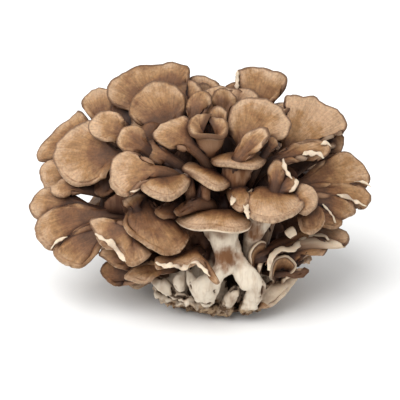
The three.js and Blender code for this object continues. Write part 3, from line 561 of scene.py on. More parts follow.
class Wall:
    """A curled sheet seen on its edge: a path across the view that runs back towards a root."""

    def __init__(self, row):
        self.name = row["name"]
        self.path = [seen(*place) for place in row["path"]]
        self.root = seen(*row["root"])
        self.narrow = row.get("narrow", 0.5)
        self.thick = row.get("thick", 1.8)
        self.blunt = row.get("blunt", 0.6)
        self.pale = row.get("pale", 0.5)
        self.tone = row.get("tone", -0.2)
        self.long = (self.path[0] - self.root).length * (1 - self.narrow)

    def middle(self, along, across):
        front = spline(self.path, (across + 1) / 2)
        back = self.root + (front - self.root) * self.narrow
        return back.lerp(front, along)


def smooth(value, low, high):
    """A smooth step from 0 at low to 1 at high."""
    part = min(max((value - low) / (high - low), 0), 1)
    return part * part * (3 - 2 * part)


def bell(value, middle, wide):
    """A bell curve, 1 at its middle."""
    return math.exp(-((value - middle) / wide) ** 2)


def uneven(place, size, seed=0.0):
    """Noise between about -1 and 1 whose lumps are size millimetres across."""
    return 2 * noise.noise(place / size + Vector((seed, 3.7 * seed, -seed)))


class Rows:
    """Rows of points across a sheet: place, half the thickness, marks and grain of each."""

    def __init__(self):
        self.places, self.halves, self.marks, self.grains = [], [], [], []

    def begin(self):
        """Begins the next row."""
        for values in (self.places, self.halves, self.marks, self.grains):
            values.append([])

    def add(self, place, half, grain, **marks):
        """Adds the next point of the row."""
        self.places[-1].append(place)
        self.halves[-1].append(half)
        self.marks[-1].append(marks)
        self.grains[-1].append(Vector((*grain, 0)))


class Skin:
    """A mesh in the making, with the values that its material reads at each point."""

    MARKS = ("upper", "reach", "edge", "tone", "pale", "cream", "lip")

    def __init__(self):
        self.mesh = bmesh.new()
        self.marks = {name: self.mesh.verts.layers.float.new(name) for name in self.MARKS}
        self.grain = self.mesh.verts.layers.float_vector.new("grain")
        self.number = self.mesh.verts.layers.int.new("number")

    def sheet(self, surface):
        """Adds a closed sheet round a middle surface, given as rows of points."""
        places, halves = surface.places, surface.halves
        rows, columns = len(places) - 1, len(places[0]) - 1
        made = bmesh.ops.create_grid(self.mesh, x_segments=columns, y_segments=rows, size=1)
        verts = made["verts"]
        for vert in verts:
            column = round((vert.co.x + 1) / 2 * columns)
            row = round((vert.co.y + 1) / 2 * rows)
            vert[self.number] = row * (columns + 1) + column
            for name, value in surface.marks[row][column].items():
                vert[self.marks[name]] = value
            vert[self.grain] = surface.grains[row][column]
        faces = list({face for vert in verts for face in vert.link_faces})
        edges = list({edge for vert in verts for edge in vert.link_edges})
        grown = bmesh.ops.extrude_face_region(self.mesh, geom=faces + edges, use_keep_orig=True)
        upper = [item for item in grown["geom"] if isinstance(item, bmesh.types.BMVert)]
        for vert in verts + upper:
            row, column = divmod(vert[self.number], columns + 1)
            low, high = places[max(row - 1, 0)][column], places[min(row + 1, rows)][column]
            left, right = places[row][max(column - 1, 0)], places[row][min(column + 1, columns)]
            outward = (right - left).cross(high - low).normalized()
            vert.co = places[row][column] - outward * halves[row][column]
        for vert in upper:
            row, column = divmod(vert[self.number], columns + 1)
            vert.co = 2 * places[row][column] - vert.co
            vert[self.marks["upper"]] = 1

    def finish(self, name, material):
        """Turns the faces outwards and makes the object."""
        bmesh.ops.recalc_face_normals(self.mesh, faces=self.mesh.faces[:])
        finished(self.mesh, name, material)


def finished(mesh, name, material):
    """Makes a smooth object of a mesh in millimetres."""
    bmesh.ops.scale(mesh, vec=(MM, MM, MM), verts=mesh.verts[:])
    for face in mesh.faces:
        face.smooth = True
    data = bpy.data.meshes.new(name)
    mesh.to_mesh(data)
    mesh.free()
    placed(name, data, material)


def placed(name, data, material):
    """Makes the object of a mesh in metres and hands it to the frame."""
    piece = bpy.data.objects.new(name, data)
    bpy.context.scene.collection.objects.link(piece)
    data.materials.clear()
    data.materials.append(material)
    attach(piece, CAD_BODY)
    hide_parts(CAD_NODE)


# A cap's last rows of points, in millimetres from the margin, and its least half thickness
RIM = (1.2, 0.8, 0.5, 0.25, 0.08, 0)
CAP_THIN = 0.12

# A wall's rows of points up to its rim and over it, and its least half thickness
WALL_ROWS = 10
WALL_RIM = (0.94, 0.97, 0.99, 1)
WALL_THIN = 0.15

# A torn edge's points across it, the distance between its rows, and its least half thickness
STRIP_ACROSS = (-1, -0.8, -0.4, 0, 0.4, 0.8, 1)
STRIP_STEP = 0.7
STRIP_THIN = 0.1


def cap_sheet(skin, cap, fine):
    """Adds a cap and its stem to a skin, with rows every fine millimetres or so."""
    margin = sum((cap.margin[i + 1] - cap.margin[i]).length for i in range(len(cap.margin) - 1))
    columns = int(min(max(margin / fine, 14), 60))
    blade = int(min(max(cap.long / fine, 5), 24))
    stem = int(min(max((cap.neck - cap.foot).length / (2 * fine), 5), 14))
    stem_long = (cap.neck - cap.foot).length
    steps = [("stem", row / stem) for row in range(stem)]
    steps += [("blade", row / blade) for row in range(blade)]
    steps += [("rim", distance) for distance in RIM]
    rows = Rows()
    for kind, value in steps:
        rows.begin()
        for column in range(columns + 1):
            across = math.sin(math.pi / 2 * (2 * column / columns - 1))
            long = max((spline(cap.margin, (across + 1) / 2) - cap.lifted).length, 3)
            if kind == "stem":
                reach, along = value - 1, NECK_AT * value
            else:
                rim = min(RIM[0] / long, 0.4)
                reach = value * (1 - rim) if kind == "blade" else 1 - rim * value / RIM[0]
                along = NECK_AT + (1 - NECK_AT) * reach
            place = cap.middle(along, across)
            blade_reach = max(reach, 0)
            to_margin = (1 - blade_reach) * long if reach > 0 else 50
            half_wide = cap.stem * (1 - 0.2 * min(reach, 0)) + blade_reach * cap.half * 0.9
            edge = min(to_margin, (1 - abs(across)) * half_wide)
            at_stem = cap.stem * cap.share
            flat = cap.thick / 2 + (at_stem - cap.thick / 2) * (1 - blade_reach) ** cap.flare
            bend = min(edge / min(flat * 1.5, half_wide), 1)
            half = max(flat * math.sqrt(1 - (1 - bend) ** 2), CAP_THIN)
            swell = (0.8 * uneven(place, 12) + 0.2 * uneven(place, 3.5)) * cap.lumps
            outward = (place - cap.neck).normalized()
            lip = smooth(-outward.dot(turned(0, 1, 0)), -0.1, 0.5) if reach > 0 else 0
            if reach > 0:
                rolled = bell(edge, 1.2, 1) - bell(edge, 3.4, 1.4)
                swell += rolled * (0.3 + 0.3 * lip) * min(cap.long / 20, 1)
                half += 0.25 * bell(edge, 1.4, 0.9)
                half *= 1 - 0.6 * smooth(abs(across), 0.7, 1) * smooth(reach, 0, 0.3)
            place = place + cap.facing * (swell * min(blade_reach * 2 + 0.3, 1))
            if blade_reach > 0.6:
                wobble = (0.5 * uneven(place, 5, 4.1) + 0.25 * uneven(place, 2, 9.3)) * cap.lumps
                place = place + outward * wobble * smooth(blade_reach, 0.6, 1)
            side = smooth(abs(across), 0.55, 0.85)
            pale = cap.pale - 0.9 * side * smooth(reach, 0, 0.3)
            grain = (across * margin / 2, reach * (long if reach > 0 else stem_long))
            rows.add(place, half, grain, reach=reach, edge=edge, tone=cap.tone, pale=pale,
                     cream=cap.cream * (1 - side), lip=lip)
    skin.sheet(rows)


def wall_sheet(skin, wall, fine):
    """Adds a curled wall to a skin."""
    margin = sum((wall.path[i + 1] - wall.path[i]).length for i in range(len(wall.path) - 1))
    columns = int(min(max(margin / fine, 10), 60))
    values = [row / WALL_ROWS * WALL_RIM[0] for row in range(WALL_ROWS)]
    values += WALL_RIM
    rows = Rows()
    for value in values:
        rows.begin()
        for column in range(columns + 1):
            across = math.sin(math.pi / 2 * (2 * column / columns - 1))
            place = wall.middle(value, across)
            edge = min((1 - value) * wall.long, (1 - abs(across)) * margin / 2)
            bend = min(edge / (wall.thick * wall.blunt), 1)
            place = place + Vector((uneven(place, 5), 0, uneven(place, 5, 7.7))) * 0.4
            half = max(wall.thick / 2 * math.sqrt(1 - (1 - bend) ** 2), WALL_THIN)
            rows.add(place, half, (across * margin / 2, value * wall.long), reach=value, edge=edge,
                     tone=wall.tone, pale=wall.pale, cream=1)
    skin.sheet(rows)


def strip_sheet(skin, cap, row):
    """Adds a thin torn cream edge that lies on a cap along a path across the view."""
    path = [on_plane(place, cap.lifted, cap.facing) for place in row["path"]]
    margin = sum((path[i + 1] - path[i]).length for i in range(len(path) - 1))
    count = max(int(margin / STRIP_STEP), 6)
    torn = row.get("torn", 0.6)
    rows = Rows()
    for across in STRIP_ACROSS:
        rows.begin()
        for step in range(count + 1):
            part = step / count
            place = spline(path, part)
            way = spline(path, min(part + 0.02, 1)) - spline(path, max(part - 0.02, 0))
            side = cap.facing.cross(way).normalized()
            taper = math.sqrt(max(math.sin(math.pi * (0.04 + 0.92 * part)), 0))
            ragged = 1 + torn * uneven(place, 2.2, 3.3)
            place = place + side * (across * row["wide"] / 2 * taper * ragged)
            place = place + cap.facing * (row["rise"] + torn * uneven(place, 2.4))
            half = max(0.5 * taper * math.sqrt(1 - across * across), STRIP_THIN)
            rows.add(place, half, (across, part * margin), reach=1, edge=0.3, tone=0, pale=1,
                     cream=1)
    skin.sheet(rows)


def painted_gap_shade(tree, colour, share):
    """Paints shade into a colour: a warm brown darkening where the skin lies deep between the caps,
    read from its open mark.
    """
    free = tree.attribute("open")
    # painted shade: a mild warm darkening where the skin is partly hidden, then deep brown in the
    # deepest gaps
    painted_half_shade = tree.mix((1 - tree.step(free, 0.4, 1)) * share, colour, (0.6, 0.46, 0.36), "MULTIPLY")
    return tree.mix((1 - tree.step(free, 0.2, 0.88)) * share, painted_half_shade, (0.13, 0.065, 0.033), "MULTIPLY")


def skin_finish(colours):
    """The finish of caps and stems: brown velvety tops, cream undersides and edges, pale stems."""
    tree = Tree("cap_skin")
    place = tree.node("ShaderNodeTexCoord").outputs["Object"]
    grain = tree.node("ShaderNodeAttribute", {"attribute_name": "grain"}).outputs["Vector"]
    upper, reach, edge = tree.attribute("upper"), tree.attribute("reach"), tree.attribute("edge")
    tone, pale, cream = tree.attribute("tone"), tree.attribute("pale"), tree.attribute("cream")
    lip = tree.attribute("lip")

    coarse = tree.node("ShaderNodeMapping", None, Vector=grain, Scale=(0.45, 0.07, 1)).outputs[0]
    fine = tree.node("ShaderNodeMapping", None, Vector=grain, Scale=(1.25, 0.11, 1)).outputs[0]
    streak = tree.noise(coarse, 1, 4)
    hair = tree.noise(fine, 1, 3)
    mottle = tree.noise(place, 85, 5, 0.62)
    speck = tree.noise(place, 800, 3, 0.65)
    pores = tree.node("ShaderNodeTexVoronoi", None, Vector=place, Scale=1900).outputs["Distance"]

    shade = reach * 1.05 + (streak - 0.5) * 0.4 + (mottle - 0.5) * 1.7 + tone * 0.33
    ramp = tree.ramp(shade, (
        (0.0, colours.centre), (0.37, colours.inner), (0.7, colours.middle), (1.0, colours.outer),
    ))
    near_margin = (1 - tree.step(edge, 2, 9)) * tree.step(reach, 0.4, 0.9) * tree.step(tone, -1.5, 0)
    top = tree.mix(near_margin * tree.step(mottle, 0.3, 0.6) * 0.4, ramp, colours.light)
    hairy = 1 + (hair - 0.5) * 0.85 + (speck - 0.5) * 1.1 + (streak - 0.5) * 0.2
    top = tree.mix(1, top, hairy, "MULTIPLY")
    blade = tree.step(reach, 0.3, 0.6)
    rim_line = (1 - tree.step(edge, 0.7, 1.8)) * blade
    top = tree.mix(rim_line * (0.9 - 0.45 * lip), top, colours.centre)
    # painted shade in the groove behind the rolled lip of the lower margins
    groove_shade = tree.step(edge, 1.3, 2.2) - tree.step(edge, 2.2, 3.6)
    top = tree.mix(groove_shade * blade * lip * tree.step(streak, 0.3, 0.6) * 0.7, top, colours.inner)
    lip_line = (1 - tree.step(edge, 0.5, 1.1)) * lip * tree.step(speck + streak - 0.5, 0.35, 0.6)
    top = tree.mix(lip_line * blade * cream * 0.8, top, colours.light)
    bleached = tree.mix(tree.step(mottle, 0.4, 0.65), colours.cream, colours.under)
    top = tree.mix(tree.step(pale, 1.05, 1.3) * 0.85, top, bleached)

    near_rim = 1 - tree.step(edge, 0.3, 3.5)
    bare = tree.step(reach * 0.5 + pale, 0.4, 0.9) * tree.step(cream, 0, 0.4)
    under = tree.mix(tree.step(mottle, 0.35, 0.75) * 0.6, colours.cream, colours.under)
    stem_mix = pale + (mottle - 0.5) * 0.9 + (streak - 0.5) * 0.7
    stem = tree.mix(tree.step(stem_mix, 0.1, 0.95), colours.stem, colours.cream)
    stem = tree.mix(tree.step(hair, 0.45, 0.7) * 0.35, stem, colours.inner)
    under = tree.mix(bare, stem, under)
    near_rim = near_rim * tree.step(reach, 0.5, 0.8) * tree.step(cream + (mottle - 0.5), 0.2, 0.7)
    under = tree.mix(near_rim, under, colours.cream)

    below = tree.mix(tree.step(reach, -0.05, 0.25), stem, under)
    above = tree.mix(tree.step(reach, -0.45, 0.02), stem, top)
    torn = tree.step(pale * cream, 0.5, 0.7) * (1 - tree.step(edge, 0.3, 0.5))
    above = tree.mix(torn, above, tree.mix(tree.step(mottle, 0.45, 0.7), colours.cream, colours.under))
    whole = tree.mix(tree.step(upper, 0.4, 0.6), below, above)
    whole = painted_gap_shade(tree, whole, 1 - 0.35 * tree.step(pale, 0, 1))

    height = hair * 0.6 + streak * 0.25 + speck * 0.4 + mottle * 0.5
    bump = tree.node("ShaderNodeBump", None, Strength=0.3, Distance=0.0006, Height=height)
    pitted = tree.node("ShaderNodeBump", None, Strength=0.15, Distance=0.0002, Height=pores,
                       Normal=bump.outputs[0])
    tree.feed(tree.shader.inputs["Base Color"], whole)
    tree.feed(tree.shader.inputs["Roughness"], 0.62 + (mottle - 0.5) * 0.2)
    tree.feed(tree.shader.inputs["Normal"], pitted.outputs[0])
    tree.shader.inputs["Specular IOR Level"].default_value = 0.3
    tree.shader.inputs["Subsurface Weight"].default_value = 0.12
    tree.shader.inputs["Subsurface Radius"].default_value = (0.004, 0.002, 0.001)
    tree.shader.inputs["Subsurface Scale"].default_value = 0.5
    return tree.material


def butt_finish(colours):
    """The finish of the butt and the inner stems: cream flesh, brown creases and soil in the cut, and
    painted shade in the hollows and between the inner stems.
    """
    tree = Tree("butt_flesh")
    place = tree.node("ShaderNodeTexCoord").outputs["Object"]
    crease, pale, cut = tree.attribute("crease"), tree.attribute("pale"), tree.attribute("cut")
    tall = tree.node("ShaderNodeMapping", None, Vector=place, Scale=(420, 420, 70)).outputs[0]
    fibre = tree.noise(tall, 1, 4)
    mottle = tree.noise(place, 90, 5, 0.6)
    crumb = tree.noise(place, 420, 5, 0.65)
    flesh = tree.mix(tree.step(mottle, 0.42, 0.72) * 0.5, colours.flesh, colours.under)
    flesh = tree.mix(tree.step(fibre, 0.48, 0.72) * 0.4, flesh, colours.stem)
    # soil in the creases of the cut, and painted shade in the hollows of the butt and the grooves of
    # the inner stems
    brown = tree.step(crease + (crumb - 0.5) * 1.2, 0.25, 0.75)
    crumbly = tree.mix(tree.step(crumb, 0.42, 0.56), colours.soil_and_shade, colours.crumb)
    crumbly = tree.mix(tree.step(mottle, 0.55, 0.7) * 0.7, crumbly, colours.under)
    flesh = tree.mix(tree.step(cut + (mottle - 0.5) * 1.2, 0.2, 0.7), flesh, crumbly)
    flesh = tree.mix(brown * 0.85, flesh, colours.soil_and_shade)
    bark = tree.mix(tree.step(fibre, 0.4, 0.65), colours.inner, colours.stem)
    clean = tree.step(pale + (mottle - 0.5) * 0.9 + (fibre - 0.5) * 0.6, 0.1, 0.9)
    flesh = tree.mix(1 - clean, flesh, bark)
    flesh = painted_gap_shade(tree, flesh, 1 - 0.5 * tree.step(pale, 0, 1))
    height = fibre * 0.4 + crumb * 0.6 + mottle * 0.4
    bump = tree.node("ShaderNodeBump", None, Strength=0.4, Distance=0.0008, Height=height)
    tree.feed(tree.shader.inputs["Base Color"], flesh)
    tree.feed(tree.shader.inputs["Roughness"], 0.7 + (mottle - 0.5) * 0.2)
    tree.feed(tree.shader.inputs["Normal"], bump.outputs[0])
    tree.shader.inputs["Specular IOR Level"].default_value = 0.25
    tree.shader.inputs["Subsurface Weight"].default_value = 0.1
    tree.shader.inputs["Subsurface Radius"].default_value = (0.004, 0.003, 0.002)
    tree.shader.inputs["Subsurface Scale"].default_value = 0.5
    return tree.material


def shared(make, name):
    """The material of that name, made once."""
    return bpy.data.materials.get(name) or make(bpy.context.scene.maitake_colours)


# Which caps of the near side make one piece
NEAR_GROUPS = {
    "crown": ("crown_", "bud_", "back_top_", "spoon", "small_curl"),
    "left": ("left_back", "left_upper", "left_great", "left_knuckle", "left_mid", "left_inside",
             "kidney", "small_tongue", "twisted"),
    "low_left": ("left_low", "low_left"),
    "front": ("long_lip", "front_shelf", "low_kidney", "dark_small", "low_arch", "split_shelf",
              "right_long_shelf", "right_shelf_lobe", "centre_"),
    "right": ("right_", "stub_"),
}

# Which rows of the far side make one piece
FAR_GROUPS = {"high": (0, 1, 2), "middle": (3, 4), "low": (5, 6)}

# How much coarser than the near caps the others are, and how far one cap's waves are from the next's
FAR_COARSER = 1.25
INNER_COARSER = 1.6
PHASE_STEP = 1.7


class MaitakeSizes(bpy.types.PropertyGroup):
    """Sizes of the head that a user may change."""

    fineness: FloatProperty(
        name="Fineness", description="Distance between the points of a cap, in millimetres",
        default=1.25, min=0.6, max=4,
    )
    butt_voxel: FloatProperty(
        name="Butt voxel", description="Size of the grid that the butt is cast on",
        default=0.0009, unit="LENGTH",
    )


class MaitakeColours(bpy.types.PropertyGroup):
    """Colours of the skin and the flesh."""

    centre: FloatVectorProperty(
        name="Cap centre", description="Darkest skin, where a cap narrows to its neck",
        default=(0.08, 0.032, 0.012), subtype="COLOR",
    )
    inner: FloatVectorProperty(
        name="Inner skin", description="Skin between the centre and the middle of a cap",
        default=(0.15, 0.064, 0.024), subtype="COLOR",
    )
    middle: FloatVectorProperty(
        name="Middle skin", description="Skin in the middle of a cap",
        default=(0.27, 0.142, 0.057), subtype="COLOR",
    )
    outer: FloatVectorProperty(
        name="Outer skin", description="Skin towards the margin",
        default=(0.385, 0.242, 0.142), subtype="COLOR",
    )
    light: FloatVectorProperty(
        name="Light fibres", description="Lightest fibres of the skin",
        default=(0.50, 0.352, 0.226), subtype="COLOR",
    )
    cream: FloatVectorProperty(
        name="Cream", description="Margins, undersides and pale stems",
        default=(0.62, 0.51, 0.38), subtype="COLOR",
    )
    under: FloatVectorProperty(
        name="Underside", description="Darker patches of the underside",
        default=(0.40, 0.31, 0.23), subtype="COLOR",
    )
    stem: FloatVectorProperty(
        name="Stem", description="Grey brown stems between the caps",
        default=(0.25, 0.142, 0.08), subtype="COLOR",
    )
    flesh: FloatVectorProperty(
        name="Flesh", description="Palest flesh of the butt",
        default=(0.64, 0.56, 0.45), subtype="COLOR",
    )
    crumb: FloatVectorProperty(
        name="Crumbs", description="Tan crumbs of the torn cut",
        default=(0.34, 0.235, 0.14), subtype="COLOR",
    )
    # This colour is soil and old flesh in the creases of the cut, and painted shade in the hollows of
    # the butt and the grooves of the inner stems.
    soil_and_shade: FloatVectorProperty(
        name="Soil", description="Soil and old flesh in the creases of the cut",
        default=(0.075, 0.034, 0.013), subtype="COLOR",
    )


class MaitakeStudio(bpy.types.PropertyGroup):
    """Light and camera."""

    sky: FloatProperty(
        name="Sky", description="Strength of the even white light", default=0.82, min=0,
    )
    key_strength: FloatProperty(
        name="Key light", description="Strength of the soft light from the upper left", default=2.9,
        min=0,
    )
    key_spread: FloatProperty(
        name="Key spread", description="How wide the soft light stands in the sky",
        default=math.radians(55), subtype="ANGLE",
    )
    focal: FloatProperty(
        name="Focal length", description="Focal length of the camera", default=144,
        unit="CAMERA",
    )


def across_view(place):
    """Where the view shows a place: right, up and near."""
    offset = place - SIGHT
    right, up, near = (offset.dot(turned(*axis)) for axis in ((1, 0, 0), (0, 1, 0), (0, 0, 1)))
    grow = VIEW_DISTANCE / (VIEW_DISTANCE - near)
    return right * grow, up * grow, near


def in_group(name, group):
    return any(name.startswith(start) for start in NEAR_GROUPS[group])


class MAITAKE_OT_near_caps(bpy.types.Operator):
    """Builds the caps of the near side, each with its stem"""

    bl_idname = "maitake.near_caps"
    bl_label = "Near caps"

    def execute(self, context):
        sizes = context.scene.maitake_sizes
        finish = shared(skin_finish, "cap_skin")
        draw = Draw(SEED + 1)
        caps = {group: [] for group in NEAR_GROUPS}
        for index, row in enumerate(NEAR_CAPS):
            cap = near_cap(row)
            cap.phase = PHASE_STEP * index
            cap.tone = cap.tone + 0.35 * draw()
            group = next(group for group in NEAR_GROUPS if in_group(cap.name, group))
            caps[group].append(cap)
        for group, members in caps.items():
            if not members:
                raise RuntimeError(f"no cap in {group}")
            skin = Skin()
            for cap in members:
                cap_sheet(skin, cap, sizes.fineness)
            skin.finish(f"caps_{group}", finish)
        return {"FINISHED"}


class MAITAKE_OT_far_caps(bpy.types.Operator):
    """Builds the caps of the far side in rows round the dome"""

    bl_idname = "maitake.far_caps"
    bl_label = "Far caps"

    def execute(self, context):
        sizes = context.scene.maitake_sizes
        finish = shared(skin_finish, "cap_skin")
        caps = ring_of_caps("far", BACK_ROWS, Draw(SEED))
        for index, cap in enumerate(caps):
            cap.phase = PHASE_STEP * (index + len(NEAR_CAPS))
            cap.tone = 0.3 * math.sin(5 * index)
        for group, levels in FAR_GROUPS.items():
            starts = tuple(f"far_{level}_" for level in levels)
            skin = Skin()
            for cap in caps:
                if cap.name.startswith(starts):
                    cap_sheet(skin, cap, sizes.fineness * FAR_COARSER)
            skin.finish(f"caps_far_{group}", finish)
        return {"FINISHED"}


def butt_marks(mesh):
    """The values that the butt's finish reads at each point."""
    return [mesh.verts.layers.float.new(name) for name in ("crease", "pale", "cut")]


class MAITAKE_OT_inner_caps(bpy.types.Operator):
    """Builds the small caps inside the head and the bundle of stems behind them"""

    bl_idname = "maitake.inner_caps"
    bl_label = "Inner caps"

    def execute(self, context):
        sizes = context.scene.maitake_sizes
        finish = shared(skin_finish, "cap_skin")
        skin = Skin()
        for index, cap in enumerate(ring_of_caps("inner", INNER_ROWS, Draw(SEED + 2))):
            cap.phase = PHASE_STEP * index
            # painted shade: the small caps deep inside are darkened by a low tone
            cap.tone = -1.5
            cap_sheet(skin, cap, sizes.fineness * INNER_COARSER)
        skin.finish("caps_inner", finish)

        mesh = bmesh.new()
        bmesh.ops.create_uvsphere(mesh, u_segments=180, v_segments=60, radius=1)
        crease, pale, cut = butt_marks(mesh)
        for vert in mesh.verts:
            out = vert.co.copy()
            round_ = math.atan2(out.y, out.x)
            ring = Vector((math.cos(round_), math.sin(round_), 0.2 * out.z)) * 4
            ridge = abs(noise.noise(ring * 2.6)) + 0.5 * abs(noise.noise(ring * 5.7))
            # painted shade: the crease mark darkens the grooves between the stems, and pale 0 gives
            # the whole bundle the dark bark browns
            vert[crease] = 0.45 - ridge
            vert[pale] = 0
            vert[cut] = 0
            vert.co = out * BUNDLE_REACH * (1 - 0.35 * (0.5 - ridge)) + BUNDLE_CENTRE
        finished(mesh, "inner_stems", shared(butt_finish, "butt_flesh"))
        return {"FINISHED"}


# Stems, trunks and lumps of the butt that the front shows: places across the view with their
# depth, and how far the flesh reaches to each side there, all in millimetres
LIMBS = {
    "front_stem": (((10.5, -13, 40), 10), ((10.8, -17, 40), 9), ((11.8, -21.5, 39.5), 6.4),
                   ((12.4, -26, 39), 5.2), ((12.6, -31, 38), 4.6), ((12.6, -34, 38), 4.8)),
    "left_arm": (((12.5, -33, 38), 5), ((8, -37.5, 37), 4.6), ((3.5, -42, 35), 6.6),
                 ((2.5, -46.5, 31), 6.2), ((3, -49.5, 27), 4)),
    "torn_arm": (((-5.5, -36.5, 34), 2), ((-4, -41, 34), 3), ((0, -46, 30), 4)),
    "right_arm": (((15, -31, 37), 3), ((18, -36, 36), 2.4), ((22.5, -42, 34), 3.5)),
    "middle_stem": (((-6, 11, 41), 3.4), ((-4.5, 2, 41), 3.2), ((-3, -9, 36), 3)),
    "thin_stem": (((2.5, 6, 43), 2.8), ((3, -2, 42), 2.8), ((4, -10, 36), 3)),
    "shelf_stem": (((30, -9, 38), 7), ((27.5, -15, 36), 5.2), ((25.5, -21, 33), 4.2),
                   ((24.5, -27, 30), 3.8), ((25, -34, 27), 3.8)),
    "centre_stem": (((19, 17, 40), 8), ((18, 11, 39), 6.6), ((17.5, 5, 37), 5.2),
                    ((18, -2, 34), 4.4), ((18, -10, 30), 4)),
    "trunk": (((18.5, -18.5, 38), 0.8), ((19.4, -24, 38), 1.6), ((21.2, -31, 38), 2.5),
              ((25, -37.5, 36), 4.2), ((28, -43.5, 32), 5.2), ((25.8, -49.5, 26), 4.6),
              ((22.5, -54, 21), 3.4)),
    "inner_trunk": (((18.5, -43.5, 30), 1.8), ((16.5, -47, 30), 3), ((14, -51, 26), 3.4),
                    ((13, -54, 21), 3)),
    "stub": (((-8, -37, 29), 2.6), ((-10.5, -40.5, 29), 3.6), ((-9.5, -43.5, 26), 2.6)),
    "block": (((-22.5, -39.5, 24), 2.8), ((-19, -42, 25), 4), ((-15.5, -45.5, 22), 3)),
    "crumbs_left": (((-22, -44.5, 14), 2.6), ((-17, -49, 15), 3), ((-11, -51, 17), 3.2),
                    ((-6, -52.5, 18), 2.6)),
    "crumbs_front": (((-12, -47.5, 22), 2.6), ((-6, -50.5, 23), 3), ((0, -53, 21), 2.6),
                     ((6, -54, 20), 3), ((12, -55, 19), 2.8), ((17, -54, 18), 3)),
    "crumbs_right": (((28, -53, 15), 2.6), ((34, -49, 15), 3), ((39, -45, 14), 3)),
}

# Hollows between the trunks: where they lie across the view, their half width and half height,
# their depth, and how near the flesh that they reach may lie
HOLLOWS = (
    ((17.2, -41), (5, 4), 12, 32),
    ((-13, -45), (1.4, 3), 4, 99),
    ((-5.2, -45), (1.2, 3.4), 4, 99),
    ((7.4, -46), (0.9, 1.4), 2.5, 99),
    ((18.5, -51), (0.8, 2.6), 3, 99),
    ((5, -52), (5, 0.7), 2.5, 99),
    ((-11, -48.5), (6, 0.7), 2.5, 99),
    ((31.5, -46), (1, 6), 4, 99),
    ((-19, -37), (2, 2), 4, 99),
)

# Brown skin on the stems and the cut: where it lies across the view, its half width and half
# height, and how brown it is
STAINS = (
    ((27.5, -15), (8, 11), 0.8),
    ((18, 9), (15, 24), 1.3),
    ((12.6, -29), (13, 8), 1.05),
    ((10, -17), (12, 4), 0.45),
    ((0, 0), (13, 19), 1.5),
    ((19, -23), (2.2, 6), 0.5),
    ((-9.5, -40), (2.6, 4), 0.45),
    ((-23, -40), (3, 4), 0.6),
    ((16, -50), (4, 5), 0.6),
    ((33, -47), (7, 6), 0.5),
)

# Curled sheets: the path of their rim across the view with its depth, and where they run back to
WALLS = (
    {"name": "ear", "root": (27, -42, 28), "narrow": 0.35, "thick": 2.4, "pale": 1, "tone": -0.6,
     "path": ((25, -32.5, 36), (25, -27.5, 37), (26.8, -23.3, 37), (29.7, -20.6, 36),
              (32.3, -20.4, 35), (32.8, -22.8, 34), (31.8, -26.5, 34), (30.2, -30, 35),
              (29.2, -33.5, 36))},
    {"name": "arch", "root": (38, -44, 12), "narrow": 0.3, "thick": 1.8, "pale": 0.6, "tone": -0.9,
     "path": ((34.8, -38.5, 33), (35.8, -32.5, 35), (38.3, -29, 35), (42.3, -27.5, 34),
              (45.8, -29.3, 33), (47.8, -32.7, 31), (46, -36.2, 30), (43, -38, 29))},
    {"name": "square", "root": (46.5, -14, 12), "narrow": 0.8, "thick": 5, "blunt": 0.15, "pale": 1,
     "tone": 0, "path": ((43.2, -18.4, 39), (45.4, -16.8, 39), (47.6, -15.2, 39))},
)

